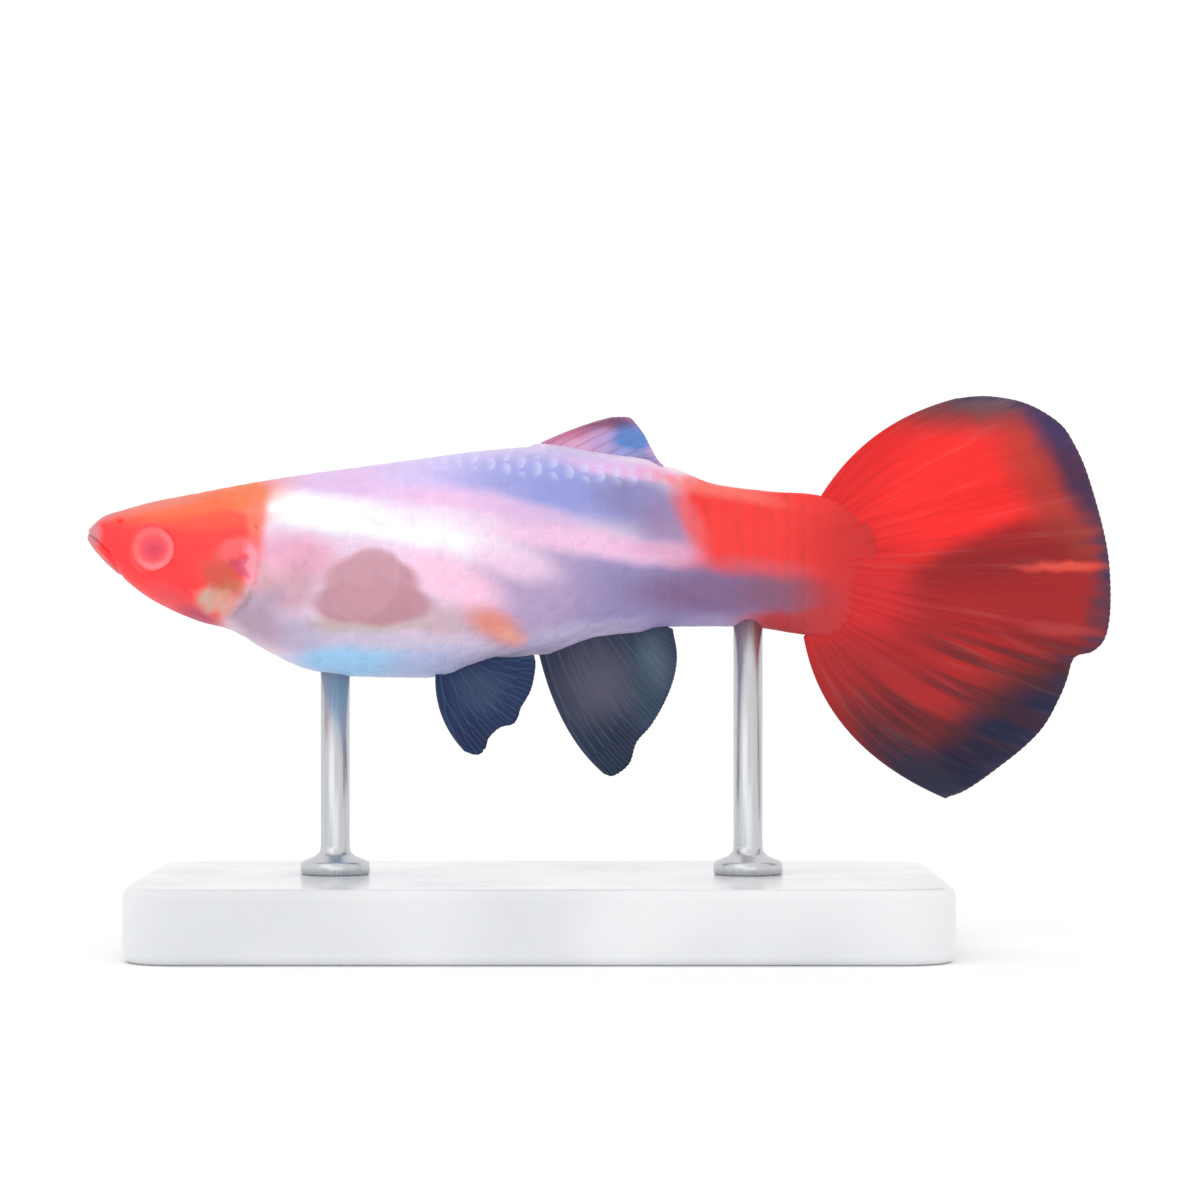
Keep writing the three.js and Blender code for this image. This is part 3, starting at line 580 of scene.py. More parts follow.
def make_skin(ground, rings, sides):
    """One skin over head, jaw, gill covers, trunk and tail stem."""
    bm = bmesh.new()
    layer = bm.loops.layers.uv.new("OFBake")
    bmesh.ops.create_grid(bm, x_segments=rings, y_segments=sides, size=1)
    for face in bm.faces:
        for loop in face.loops:
            loop[layer].uv = ((loop.vert.co.x + 1) / 2, (loop.vert.co.y + 1) / 2)
    for vert in bm.verts:
        along = (vert.co.x + 1) / 2
        at = TAIL_ROUND_END * along**RING_CROWDING
        vert.co = body_point(round(at, 6), -math.pi / 2 + math.pi * (vert.co.y + 1))
    bmesh.ops.remove_doubles(bm, verts=bm.verts, dist=SKIN_WELD)
    bmesh.ops.recalc_face_normals(bm, faces=bm.faces)
    bm.normal_update()
    for vert, out in [(vert, relief(vert.co)) for vert in bm.verts]:
        vert.co += vert.normal * out
    return finished("skin", bm, skin_material(ground),
                    ("head", "lower_jaw", "gill_cover_left", "gill_cover_right", "trunk", "tail_stem"))


@lru_cache(maxsize=200)
def girth(at):
    """Running length round the body from the middle of the belly, once round."""
    step = 2 * math.pi / GIRTH_SAMPLES
    points = [body_point(at, -math.pi / 2 + step * i) for i in range(GIRTH_SAMPLES + 1)]
    run = [0.0]
    for before, after in zip(points, points[1:]):
        run.append(run[-1] + (after - before).length)
    return run


def turn_at(at, share):
    """The turn round the body at a share of its girth, counted from the belly."""
    run = girth(at)
    wanted = (share % 1.0) * run[-1]
    i = min(len(run) - 2, max(0, bisect_right(run, wanted) - 1))
    part = (wanted - run[i]) / (run[i + 1] - run[i])
    return -math.pi / 2 + 2 * math.pi * (i + part) / (len(run) - 1)


def skin_normal(at, turn):
    """The outward direction of the smooth body."""
    step = 0.01
    ahead = body_point(at + step, turn) - body_point(at - step, turn)
    round_it = body_point(at, turn + step) - body_point(at, turn - step)
    return round_it.cross(ahead).normalized()


def scale_places(columns, rows):
    """Distance and share of the girth of each scale's root, in staggered columns."""
    rng = random.Random(11)
    places = []
    for column in range(columns):
        at = SCALED_FROM + SCALED_LENGTH * column / (columns - 1)
        for row in range(rows):
            share = (row + 0.5 * (column % 2)) / rows
            p = body_point(at, turn_at(round(at, 3), share))
            # The cheeks, gill covers and pectoral roots are bare, the crown isn't
            on_head = at < 11.0 and distance_to(GILL_EDGE, p.x, p.z) < 0.35
            if on_head and not (p.z > 3.2 and at > 5.0):
                continue
            if math.hypot(p.x - PECTORAL_ROOT.x, p.z - PECTORAL_ROOT.z) < 0.75:
                continue
            places.append((at + rng.uniform(-0.04, 0.04), share + rng.uniform(-0.05, 0.05) / rows))
    return places


def make_scales(ground, columns, rows, lift):
    """Overlapping scales over the body, each a thin plate with its front edge under the skin."""
    bm = bmesh.new()
    bake = bm.loops.layers.uv.new("OFBake")
    plate = bm.loops.layers.uv.new("Plate")
    step = SCALED_LENGTH / (columns - 1)
    for at, share in scale_places(columns, rows):
        made = bmesh.ops.create_grid(bm, x_segments=5, y_segments=6, size=1)
        verts = made["verts"]
        root = (at / TAIL_ROUND_END, share % 1.0)
        small = smooth_step(4.0, 11.0, at) * (1 - SMALLEST_SCALE) + SMALLEST_SCALE
        for face in {face for vert in verts for face in vert.link_faces}:
            for loop in face.loops:
                p, q = loop.vert.co.x, loop.vert.co.y
                loop[bake].uv = (root[0] + BAKE_PATCH * p, root[1] + BAKE_PATCH * q)
                loop[plate].uv = ((p + 1) / 2, (q + 1) / 2)
        for vert in verts:
            p, q = vert.co.x, vert.co.y
            along = p * math.sqrt(1 - q * q / 2)
            across = q * math.sqrt(1 - p * p / 2)
            place = min(TAIL_ROUND_END - 0.15, at + along * step * SCALE_REACH * small)
            turn = turn_at(round(at, 3), share + across * SCALE_SPREAD * small / rows)
            base = body_point(place, turn)
            rim = smooth_step(0.72, 1.0, math.hypot(along, across))
            rise = smooth_step(-0.95, 0.45, along) * (1 - 0.85 * rim)
            high = lift * (1 - 0.6 * smooth_step(28, 35, at)) * rise - SCALE_SINK * (1 - rise)
            vert.co = base + skin_normal(place, turn) * (relief(base) + high)
    bmesh.ops.recalc_face_normals(bm, faces=bm.faces)
    piece = finished("scales", bm, scale_material(ground))
    thick = piece.modifiers.new("plate thickness", "SOLIDIFY")
    thick.thickness = SCALE_THICKNESS * MM
    thick.offset = -1
    return piece


# Fins: a fan of rays, each a bent line from a root curve to a margin curve
class Fin:
    """The shape of one fin: where its rays start, bend and end, and how it sways sideways."""

    def __init__(self, rays, forks, root, bend, margin, sway, thick, ray_height):
        self.rays, self.forks = rays, forks
        self.root, self.bend, self.margin = (lru_cache(4000)(line) for line in (root, bend, margin))
        self.sway, self.thick, self.ray_height = sway, thick, ray_height

    def point(self, s, t):
        """The middle of the sheet at a share across the fan and a share along its rays."""
        return (self.root(s) * (1 - t) ** 2 + self.bend(s) * (2 * t * (1 - t)) + self.margin(s) * t**2
                + self.sway(s, t))

    def facing(self, s, t):
        """The sheet's direction sideways."""
        e = 0.003
        along = self.point(s, min(1, t + e)) - self.point(s, max(0, t - e))
        across = self.point(min(1, s + e), t) - self.point(max(0, s - e), t)
        return across.cross(along).normalized()

    def ray(self, s, t):
        """1 on the crest of a ray and 0 on the membrane, with the rays forking on their way out."""
        place = (s * self.rays) % 1.0 - 0.5
        spread = [0.0]
        reach = 0.25
        for fork in self.forks:
            opened = reach * smooth_step(fork - 0.06, fork + 0.16, t)
            spread = [c + side * opened for c in spread for side in (-1, 1)]
            reach /= 2
        width = 0.14 * (1 - 0.45 * t) / (1 + 0.5 * sum(t > fork for fork in self.forks))
        crest = max(bump(place - c, width) for c in spread)
        return max(crest, 0.8 * bump(s, 0.12 / self.rays), 0.8 * bump(1 - s, 0.12 / self.rays))


def make_fin(name, fin, material, replaces, per_ray, rows):
    """A fin as one closed thin sheet, with its rays raised on both faces."""
    bm = bmesh.new()
    uv = bm.loops.layers.uv.new("UVMap")
    crest = bm.verts.layers.float.new("ray")
    columns = fin.rays * per_ray
    for side in (1, -1):
        verts = bmesh.ops.create_grid(bm, x_segments=columns, y_segments=rows, size=1)["verts"]
        for face in {face for vert in verts for face in vert.link_faces}:
            for loop in face.loops:
                loop[uv].uv = ((loop.vert.co.x + 1) / 2, (loop.vert.co.y + 1) / 2)
        for vert in verts:
            s, t = (vert.co.x + 1) / 2, (vert.co.y + 1) / 2
            ray = fin.ray(s, t)
            vert[crest] = ray
            # The two faces close in a round rim all along the edge
            edge = min(s * fin.rays * 6, (1 - s) * fin.rays * 6, t * rows / 1.5, (1 - t) * rows / 1.5, 1.0)
            rim = math.sqrt(max(0.0, 1 - (1 - edge) ** 2))
            scallop = 1 - 0.006 * (1 - ray) * smooth_step(0.8, 1.0, t)
            high = rim * (fin.thick * (1 - 0.35 * t) + fin.ray_height * ray * (1 - 0.6 * t))
            vert.co = fin.point(s, t * scallop) + fin.facing(s, t) * (side * high)
    bmesh.ops.remove_doubles(bm, verts=bm.verts, dist=FIN_WELD)
    bmesh.ops.recalc_face_normals(bm, faces=bm.faces)
    return finished(name, bm, material, replaces)


def membrane_material(name, base, patches, ray_colour, ray_strength, streak=0.35, wander=0.4, alpha=1.0,
                      margin=None, broad=None):
    """Fin membrane: a wet, faintly see-through film between bony rays, streaked along the rays, its paler
    strands painted highlights.
    """
    material, tree = new_material(name)
    place = side_place(tree, wander, 1.6)
    colour = patched(tree, base, place, patches)
    uv = add_node(tree, "UVMap", output=0, uv_map="UVMap")
    along = add_node(tree, "SeparateXYZ", {0: uv}, 1)

    def combed(across, lengthwise, detail):
        """Noise drawn out along the rays, with about so many strands over the fin each way."""
        drawn = add_node(tree, "Mapping", {"Vector": uv, "Scale": (across, lengthwise, 1)}, 0)
        return add_node(tree, "TexNoise", {"Vector": drawn, "Scale": 1.0, "Detail": detail}, 0)

    strands = combed(46, 2.2, 4.0)
    if margin:
        edge_colour, edge_from = margin
        ragged = add_node(tree, "MapRange", {0: strands, 1: 0.3, 2: 0.7, 3: -0.07, 4: 0.07}, 0, **SOFT)
        edge = add_node(tree, "Math", {0: along, 1: ragged}, 0, operation="ADD")
        colour = tinted(tree, colour, linear(edge_colour), edge, edge_from, edge_from + 0.2, 0.0, 0.9)
    if broad:
        broad_colour, *shape = broad
        swathes = combed(26, 1.1, 2.0)
        colour = tinted(tree, colour, linear(broad_colour), swathes, 0.44, 0.6,
                        within=patched_share(tree, place, *shape))
    # Dark streaks follow the rays and are strongest near the root
    dark = add_node(tree, "Mix", {0: 0.55, 6: colour, 7: linear("#000000")}, 2, **COLOUR)
    rooted = add_node(tree, "MapRange", {0: along, 1: 0.25, 2: 0.6, 3: streak, 4: streak * 0.45}, 0, **SOFT)
    colour = tinted(tree, colour, dark, strands, 0.5, 0.72, within=rooted)
    # Paler strands among them are painted highlights along the rays
    pale = add_node(tree, "Mix", {0: 0.35, 6: colour, 7: linear("#FFFFFF")}, 2, **COLOUR)
    colour = tinted(tree, colour, pale, strands, 0.46, 0.3, 0.0, streak * 0.15)
    ray = add_node(tree, "Attribute", output="Fac", attribute_name="ray")
    colour = tinted(tree, colour, linear(ray_colour), ray, 0.25, 0.9, 0.0, ray_strength)
    # Low ridges cross the rays at their joints
    joints = add_node(tree, "TexWave", {"Vector": uv, "Scale": 14.0, "Distortion": 1.0, "Detail": 1.0}, 1,
                      wave_type="BANDS", bands_direction="Y")
    jointed = add_node(tree, "Math", {0: joints, 1: ray}, 0, operation="MULTIPLY")
    surfaced(tree, {
        "Base Color": colour, "Roughness": 0.55, "IOR": 1.38, "Specular IOR Level": 0.2,
        "Coat Weight": 0.02, "Coat Roughness": 0.2,
        "Subsurface Weight": 0.1, "Subsurface Radius": (0.9, 0.3, 0.25), "Subsurface Scale": 0.0005,
        "Alpha": alpha,
        "Normal": add_node(tree, "Bump", {"Strength": 0.3, "Distance": 0.04 * MM, "Height": jointed}, 0),
    })
    return material


CAUDAL_ROOT = ((40.3, 3.78), (41.3, 2.3), (41.7, 0.0), (40.9, -2.3), (39.35, -3.95))
CAUDAL_MARGIN = (
    (47.8, 9.15), (49.6, 9.35), (51.7, 9.0), (53.6, 7.95), (54.6, 6.6), (55.5, 4.85), (56.1, 2.9),
    (56.4, 0.3), (56.3, -2.0), (55.9, -3.9), (55.2, -4.75), (54.25, -5.1), (53.9, -6.3), (53.45, -7.4),
    (52.4, -9.2), (50.2, -11.2), (48.5, -12.5), (47.4, -12.98),
)
CAUDAL_BOWS = (Vector((42.9, 0, 8.0)), Vector((40.45, 0, -10.0)))
# The tail fin's colours, with painted light and shade on its folds
CAUDAL_PATCHES = (
    ("#DA2828", 44.5, 2.0, 6.0, 5.6, 0, 0.5, 1.0),
    # painted highlight: the upper half brighter, as lit from above
    ("#F4302E", 48.6, 4.8, 5.6, 3.2, 20, 0.4, 1.0),
    ("#A02A2C", 43.4, -6.2, 4.6, 5.2, -20, 0.5, 0.95),  # dull red lower left, painted shade
    ("#9C2426", 52.8, -2.4, 9.0, 4.9, 9, 0.12, 1.0),    # painted shade: the darker half below the crease
    # painted shade, darkest along the crease
    ("#842024", 51.2, 0.3, 5.0, 0.9, 9, 0.7, 0.7),
    ("#B02A2A", 48.4, -4.6, 3.4, 1.8, -20, 0.7, 0.8),
    ("#CE2C30", 42.6, -1.6, 2.6, 2.4, -10, 0.7, 0.9),   # brighter towards the stem
    ("#562A2E", 51.6, -10.7, 9.2, 4.8, 31, 0.3, 0.9),   # brown zone before the navy
    ("#5E3034", 44.2, -9.6, 3.0, 1.4, -40, 0.7, 0.85),
    ("#1A243E", 51.6, -10.9, 8.6, 3.6, 31, 0.28, 1.0),  # navy lower lobe
    ("#2A3044", 46.0, -12.0, 3.6, 1.4, -38, 0.6, 0.95),
    ("#984038", 54.0, 5.0, 5.6, 2.6, -57, 0.45, 0.7),   # brown, then purple, upper right margin
    ("#40304E", 55.5, 5.7, 4.9, 2.1, -57, 0.4, 0.95),
    ("#4C3450", 56.7, -1.0, 0.8, 4.0, 3, 0.6, 0.95),
    ("#66303A", 56.0, -3.0, 1.1, 1.8, 0, 0.6, 0.9),
    ("#7E4042", 48.4, 11.0, 7.6, 3.4, 0, 0.3, 0.95),    # brown and grey-mauve upper margin
    ("#605866", 48.8, 11.6, 6.8, 3.0, 0, 0.2, 0.9),
    ("#3C3662", 53.6, 8.4, 2.2, 1.5, -40, 0.6, 0.9),
    ("#E05040", 53.9, -0.1, 2.3, 0.26, 0, 0.7, 0.8),    # painted highlights on fold ridges, this near the middle and the next two lower down
    ("#B04040", 53.4, -3.5, 2.0, 0.35, -8, 0.7, 0.7),
    ("#B84444", 51.2, -4.3, 1.8, 0.2, -24, 0.7, 0.4),
)


def caudal_fin():
    """The tail fin: a broad fan with soft folds, its lower lobe stepped behind the upper one."""
    root_curve, margin_curve = curve_through(CAUDAL_ROOT), curve_through(CAUDAL_MARGIN)

    def bend(s):
        p = root_curve(s).lerp(margin_curve(s), 0.5)
        p = p.lerp(CAUDAL_BOWS[0], max(0.0, 1 - s / 0.3) ** 2)
        return p.lerp(CAUDAL_BOWS[1], max(0.0, (s - 0.7) / 0.3) ** 2)

    def sway(s, t):
        wave = 1.5 * math.sin(s * 8.2 - 0.9) + 0.5 * math.sin(s * 19 + 0.5)
        crease = 0.9 * bump(s - 0.34, 0.05) - 0.8 * bump(s - 0.6, 0.05)
        ripple = 0.06 * t * math.sin(s * 61 + 3 * t) * smooth_step(0.1, 0.5, t)
        return Vector((0, t**1.4 * (wave + crease) + 0.9 * t * t + ripple, 0))

    return Fin(22, (0.36, 0.62), root_curve, bend, margin_curve, sway, thick=0.07, ray_height=0.05)


DORSAL_MARGIN = (
    (28.9, 8.12), (29.75, 8.15), (30.12, 7.85), (30.6, 7.2), (30.95, 6.5), (31.3, 5.85), (31.65, 5.4),
)
DORSAL_ROOT = (24.0, 31.0)
DORSAL_PATCHES = (
    ("#C87C9C", 26.4, 7.0, 2.2, 0.6, 22, 0.6, 0.9),
    ("#946484", 28.6, 7.8, 1.6, 0.4, 10, 0.7, 0.9),
    ("#54466E", 29.5, 7.6, 0.7, 0.4, -10, 0.7, 0.85),
    ("#D8AACC", 27.0, 6.5, 1.6, 0.5, 8, 0.6, 0.9),
    ("#B49CCE", 28.4, 6.8, 0.9, 0.6, 0, 0.6, 0.9),
    ("#5C86C8", 29.9, 6.9, 1.1, 0.75, 0, 0.5, 1.0),
    ("#8A9CD8", 29.8, 6.1, 1.2, 0.3, -6, 0.7, 0.8),
    ("#8488B4", 30.7, 5.8, 0.8, 0.35, -20, 0.7, 0.8),
    ("#DC9CC4", 27.6, 5.9, 2.6, 0.25, -8, 0.8, 0.85),
)


def dorsal_fin():
    """The dorsal fin, half folded so that its rays sweep back."""
    margin_curve = curve_through(DORSAL_MARGIN)

    def root(s):
        at = DORSAL_ROOT[0] + (DORSAL_ROOT[1] - DORSAL_ROOT[0]) * s
        return Vector((at, 0, back(at) - 0.2))

    def bend(s):
        p = root(s).lerp(margin_curve(s), 0.5)
        return p + Vector((0, 0, 0.4 * (1 - s) + 0.1 * s))

    def sway(s, t):
        return Vector((0, 0.5 * t * t * math.sin(s * 4.2), 0))

    return Fin(8, (0.6,), root, bend, margin_curve, sway, thick=0.06, ray_height=0.08)


ANAL_MARGIN = (
    (28.4, -11.5), (28.95, -11.6), (29.8, -10.95), (30.2, -9.8), (31.0, -8.85), (31.75, -7.55),
    (32.25, -6.2), (32.4, -4.9), (32.15, -3.5),
)
ANAL_ROOT = (24.7, 31.0)
ANAL_PATCHES = (
    ("#3C4054", 27.6, -6.2, 2.4, 2.4, -35, 0.6, 0.8),
    ("#1E2E44", 28.8, -10.4, 1.8, 1.7, 20, 0.5, 0.95),
    ("#30485C", 31.0, -7.0, 1.1, 2.6, 8, 0.6, 0.85),
    ("#647888", 31.2, -5.2, 0.8, 1.4, 10, 0.8, 0.45),
    ("#646474", 28.2, -6.6, 1.6, 1.6, -30, 0.9, 0.5),
)


def anal_fin():
    """The anal fin, a rounded fan as females have."""
    margin_curve = curve_through(ANAL_MARGIN)

    def root(s):
        at = ANAL_ROOT[0] + (ANAL_ROOT[1] - ANAL_ROOT[0]) * s
        return Vector((at, 0, belly(at) + 0.4))

    def bend(s):
        p = root(s).lerp(margin_curve(s), 0.5)
        return p - Vector((0.8 * (1 - s), 0, 1.3 * (1 - s) ** 2))

    def sway(s, t):
        return Vector((0, 0.55 * t * t * math.sin(s * 5 - 0.6), 0))

    return Fin(10, (0.45, 0.72), root, bend, margin_curve, sway, thick=0.06, ray_height=0.08)


PELVIC_ROOT = ((19.2, -5.3), (20.2, -5.2), (21.5, -4.9))
PELVIC_MARGIN = (
    (20.8, -10.15), (21.4, -10.35), (21.8, -10.2), (22.0, -9.6), (22.7, -8.9), (23.5, -8.65), (23.8, -7.9),
    (24.35, -6.9), (24.6, -5.6), (24.5, -4.9),
)
PELVIC_PATCHES = (
    ("#3C4C68", 21.6, -6.8, 1.3, 1.2, 20, 0.7, 0.7),
    ("#18284A", 21.4, -9.4, 1.2, 1.0, 0, 0.6, 0.8),
)


def pelvic_fin(side):
    """One of the pair under the belly, leaning out from its root."""
    root_curve, margin_curve = curve_through(PELVIC_ROOT), curve_through(PELVIC_MARGIN)

    def bend(s):
        p = root_curve(s).lerp(margin_curve(s), 0.5)
        return p - Vector((1.15 * (1 - s) ** 2, 0, 0.45 * (1 - s) + 0.3 * s))

    def sway(s, t):
        lean = 0.95 + 0.42 * t * (4.4 - 2.4 * s) + 0.25 * t * t * math.sin(s * 7)
        return Vector((0, side * lean, 0))

    return Fin(6, (0.4, 0.7), root_curve, bend, margin_curve, sway, thick=0.05, ray_height=0.08)


PECTORAL_ROOT_LINE = ((10.75, 0.3), (10.8, -0.4), (10.6, -1.2))
PECTORAL_MARGIN = ((16.3, 1.3), (17.2, 0.7), (17.6, -0.3), (17.4, -1.4), (16.7, -2.4), (15.4, -3.2))


def pectoral_fin(side):
    """One of the pair behind the gill opening: a clear paddle held out and back."""
    root_curve, margin_curve = curve_through(PECTORAL_ROOT_LINE), curve_through(PECTORAL_MARGIN)
    root_side = half_width_at(10.9, -0.5) - 0.1

    def bend(s):
        return root_curve(s).lerp(margin_curve(s), 0.5)

    def sway(s, t):
        return Vector((0, side * (root_side + 3.3 * t + 0.2 * t * t * math.sin(s * 9)), 0))

    return Fin(12, (0.5,), root_curve, bend, margin_curve, sway, thick=0.03, ray_height=0.05)


# Eyes
NO_DEPTH = 1000  # so large a scale that depth counts for nothing


def eye_material(side, pupil, iris, colours):
    """A fish's eye: a glassy red lens in the pupil, inside a red iris with a pale ring."""
    material, tree = new_material("iris_" + SIDES[side])
    where = add_node(tree, "TexCoord", output="Object")
    middle = metres((EYE.x, 0, EYE.z))
    flat = add_node(tree, "Mapping", {
        "Vector": where, "Location": (middle.x, 0, middle.z), "Scale": (MM, NO_DEPTH, MM),
    }, 0, vector_type="TEXTURE")
    away = add_node(tree, "VectorMath", {0: flat}, 1, operation="LENGTH")
    fleck = add_node(tree, "TexNoise", {"Vector": where, "Scale": grains(0.12), "Detail": 4.0}, 0)
    # The ring is brightest low down and behind, a painted highlight
    split = add_node(tree, "SeparateXYZ", {0: flat})
    lit = add_node(tree, "Math", {0: split.outputs[0], 1: split.outputs[2]}, 0, operation="SUBTRACT")
    inner = add_node(tree, "MapRange", {0: away, 1: iris * 0.5, 2: iris * 0.78, 3: 0, 4: 1}, 0, **SOFT)
    outer = add_node(tree, "MapRange", {0: away, 1: iris * 0.82, 2: iris, 3: 1, 4: 0}, 0, **SOFT)
    band = add_node(tree, "Math", {0: inner, 1: outer}, 0, operation="MULTIPLY")
    ring = tinted(tree, colours[1], linear("#FF7E86"), lit, -1.3, 1.3, 0.25, 1.0, within=band)
    ring = tinted(tree, ring, linear("#FFA0A4"), fleck, 0.45, 0.75, 0.0, 0.15)
    glow = add_node(tree, "Mix", {0: 0.4, 6: colours[0], 7: linear("#FF5068")}, 2, **COLOUR)
    lens = tinted(tree, colours[0], glow, away, 0, pupil)
    surfaced(tree, {
        "Base Color": tinted(tree, lens, ring, away, pupil * 0.88, pupil * 1.12), "Roughness": 0.28,
        "Specular IOR Level": 0.3, "Coat Weight": 0.1, "Coat Roughness": 0.06,
    })
    return material


def cornea_material():
    """The cornea: a clear wet dome over the iris."""
    material, tree = new_material("cornea_clear")
    surfaced(tree, {"Base Color": linear("#FFD8D8"), "Roughness": 0.02, "IOR": 1.376, "Alpha": 0.05})
    return material


def make_eye(side, pupil, iris, colours):
    """A globe with a sunk pupil, and the clear cornea over it."""
    word = SIDES[side]
    centre = Vector((EYE.x, side * EYE.y, EYE.z))
    turned = Matrix.Rotation(math.pi / 2, 4, "X")
    bm = bmesh.new()
    bmesh.ops.create_uvsphere(bm, u_segments=64, v_segments=48, radius=1, matrix=turned)
    for vert in bm.verts:
        p = vert.co
        radial = math.hypot(p.x, p.z) * EYE_RADII.x
        out = p.y * side
        flatten = 0.1 * (1 - smooth_step(iris * 0.7, iris * 1.1, radial)) if out > 0 else 0.0
        sunk = 0.05 * (1 - smooth_step(pupil * 0.85, pupil * 1.1, radial)) if out > 0 else 0.0
        depth = p.y * EYE_RADII.y - side * (flatten + sunk)
        vert.co = centre + Vector((p.x * EYE_RADII.x, depth, p.z * EYE_RADII.z))
    bmesh.ops.recalc_face_normals(bm, faces=bm.faces)
    finished("eye_" + word + "_globe", bm, eye_material(side, pupil, iris, colours), ("eye_" + word,))
    bm = bmesh.new()
    bmesh.ops.create_uvsphere(bm, u_segments=48, v_segments=32, radius=1, matrix=turned)
    for vert in bm.verts:
        vert.co = centre + vert.co * CORNEA_RADII
    bmesh.ops.recalc_face_normals(bm, faces=bm.faces)
    finished("eye_" + word + "_cornea", bm, cornea_material())


# Stand
def acrylic_material(colour):
    """Cast white acrylic with polished edges: milky and glossy, with faint handling marks."""
    material, tree = new_material("cast_white_acrylic")
    where = add_node(tree, "TexCoord", output="Object")
    smear = add_node(tree, "TexNoise", {"Vector": where, "Scale": grains(6.0), "Detail": 5.0}, 0)
    cloud = add_node(tree, "TexNoise", {"Vector": where, "Scale": grains(14.0), "Detail": 2.0}, 0)
    paler = add_node(tree, "Mix", {0: 0.3, 6: colour, 7: linear("#FFFFFF")}, 2, **COLOUR)
    surfaced(tree, {
        "Base Color": tinted(tree, colour, paler, cloud, 0.35, 0.65),
        "Roughness": add_node(tree, "MapRange", {0: smear, 1: 0.35, 2: 0.7, 3: 0.12, 4: 0.26}, 0, **SOFT),
        "IOR": 1.49, "Subsurface Weight": 0.1, "Subsurface Scale": 0.001,
    })
    return material


def steel_material(colour):
    """Fine-brushed stainless steel: soft upright streaks, drawn about 0.08 mm wide, which is coarser
    than the real brushing, so that they show."""
    material, tree = new_material("brushed_stainless_rod")
    where = add_node(tree, "TexCoord", output="Object")
    drawn = add_node(tree, "Mapping", {"Vector": where, "Scale": (6, 6, 0.2)}, 0)
    line = add_node(tree, "TexNoise", {"Vector": drawn, "Scale": grains(0.5), "Detail": 2.0}, 0)
    duller = add_node(tree, "Mix", {0: 0.15, 6: colour, 7: linear("#707478")}, 2, **COLOUR)
    surfaced(tree, {
        "Base Color": tinted(tree, duller, colour, line, 0.3, 0.7),
        "Roughness": add_node(tree, "MapRange", {0: line, 1: 0.3, 2: 0.7, 3: 0.26, 4: 0.34}, 0, **SOFT),
        "Metallic": 1.0,
    })
    return material


def make_base(colour, corner, rim):
    """The rounded block, with its upright edges and then its rims eased."""
    low, high = (Vector(point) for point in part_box("stand_base"))
    bm = bmesh.new()
    bmesh.ops.create_cube(bm, size=1)
    bmesh.ops.scale(bm, vec=high - low, verts=bm.verts)
    bmesh.ops.translate(bm, vec=(low + high) / 2, verts=bm.verts)
    upright = [edge for edge in bm.edges if abs(edge.verts[0].co.z - edge.verts[1].co.z) > MM]
    bmesh.ops.bevel(bm, geom=upright, offset=corner, segments=12, profile=0.5, affect="EDGES", material=-1)
    rims = [edge for edge in bm.edges if abs(edge.verts[0].co.z - edge.verts[1].co.z) < 1e-7
            and any(abs(face.normal.z) > 0.9 for face in edge.link_faces)]
    bmesh.ops.bevel(bm, geom=rims, offset=rim, segments=5, profile=0.5, affect="EDGES", material=-1)
    piece = finished_in_place("stand_block", bm, acrylic_material(colour),
                              ("stand_base",))
    piece.modifiers.new("even shading", "WEIGHTED_NORMAL")


def make_rod(node, steel, rod, foot):
    """A turned rod with its foot, run up into the belly."""
    at = ROD_AT[node]
    low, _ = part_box(node)
    middle = middle_of(node)
    top = (MIDLINE_HEIGHT + belly(at) + 0.6) * MM
    under = low[2] - 0.3 * MM
    profile = (
        (0.0, 0.0), (foot - 0.1 * MM, 0.0), (foot, 0.1), (foot, 0.6), (foot - 0.15 * MM, 0.75),
        (rod + 0.3 * MM, 1.0), (rod + 0.05 * MM, 1.25), (rod, 1.6),
    )
    bm = bmesh.new()
    line = [bm.verts.new((x, 0, under + z * MM)) for x, z in profile]
    line += [bm.verts.new((rod, 0, top)), bm.verts.new((0, 0, top))]
    edges = [bm.edges.new(pair) for pair in zip(line, line[1:])]
    bmesh.ops.spin(bm, geom=line + edges, cent=(0, 0, 0), axis=(0, 0, 1), angle=2 * math.pi,
                   steps=48, use_merge=True)
    bmesh.ops.remove_doubles(bm, verts=bm.verts, dist=1e-6)
    bmesh.ops.recalc_face_normals(bm, faces=bm.faces)
    bmesh.ops.translate(bm, vec=(middle.x, middle.y, 0), verts=bm.verts)
    finished_in_place(node.replace("stand_rod", "stand_pin"), bm, steel, (node,))


# Stage, in metres
FLOOR_RADIUS = 0.7
SURROUND_STRENGTH = 1.03


def floor_material(colour):
    """Matt studio paper, near white."""
    material, tree = new_material("studio_paper")
    surfaced(tree, {"Base Color": colour, "Roughness": 0.9})
    return material


def make_floor(colour):
    """A round floor, so wide and pale that its rim can't be told from the white surround."""
    bm = bmesh.new()
    bmesh.ops.create_circle(bm, cap_ends=True, cap_tris=True, segments=96, radius=FLOOR_RADIUS)
    mesh = bpy.data.meshes.new("studio_floor")
    bm.to_mesh(mesh)
    bm.free()
    mesh.materials.append(floor_material(colour))
    floor = bpy.data.objects.new("studio_floor", mesh)
    bpy.context.collection.objects.link(floor)


def add_lamp(name, place, target, size, power):
    """A square white soft lamp that faces a point."""
    lamp = bpy.data.lights.new(name, "AREA")
    lamp.shape = "SQUARE"
    lamp.size = size
    lamp.energy = power
    piece = bpy.data.objects.new(name, lamp)
    piece.location = place
    piece.rotation_euler = (Vector(target) - Vector(place)).to_track_quat("-Z", "Y").to_euler()
    bpy.context.collection.objects.link(piece)


# Camera: level with the fish and square on to its left side
VIEW_WIDTH = 66.0  # millimetres across the picture at the fish
VIEW_MIDDLE = (28.16, -1.925)  # the picture's middle in the fish's frame
LENS = 120.0
SENSOR = 36.0


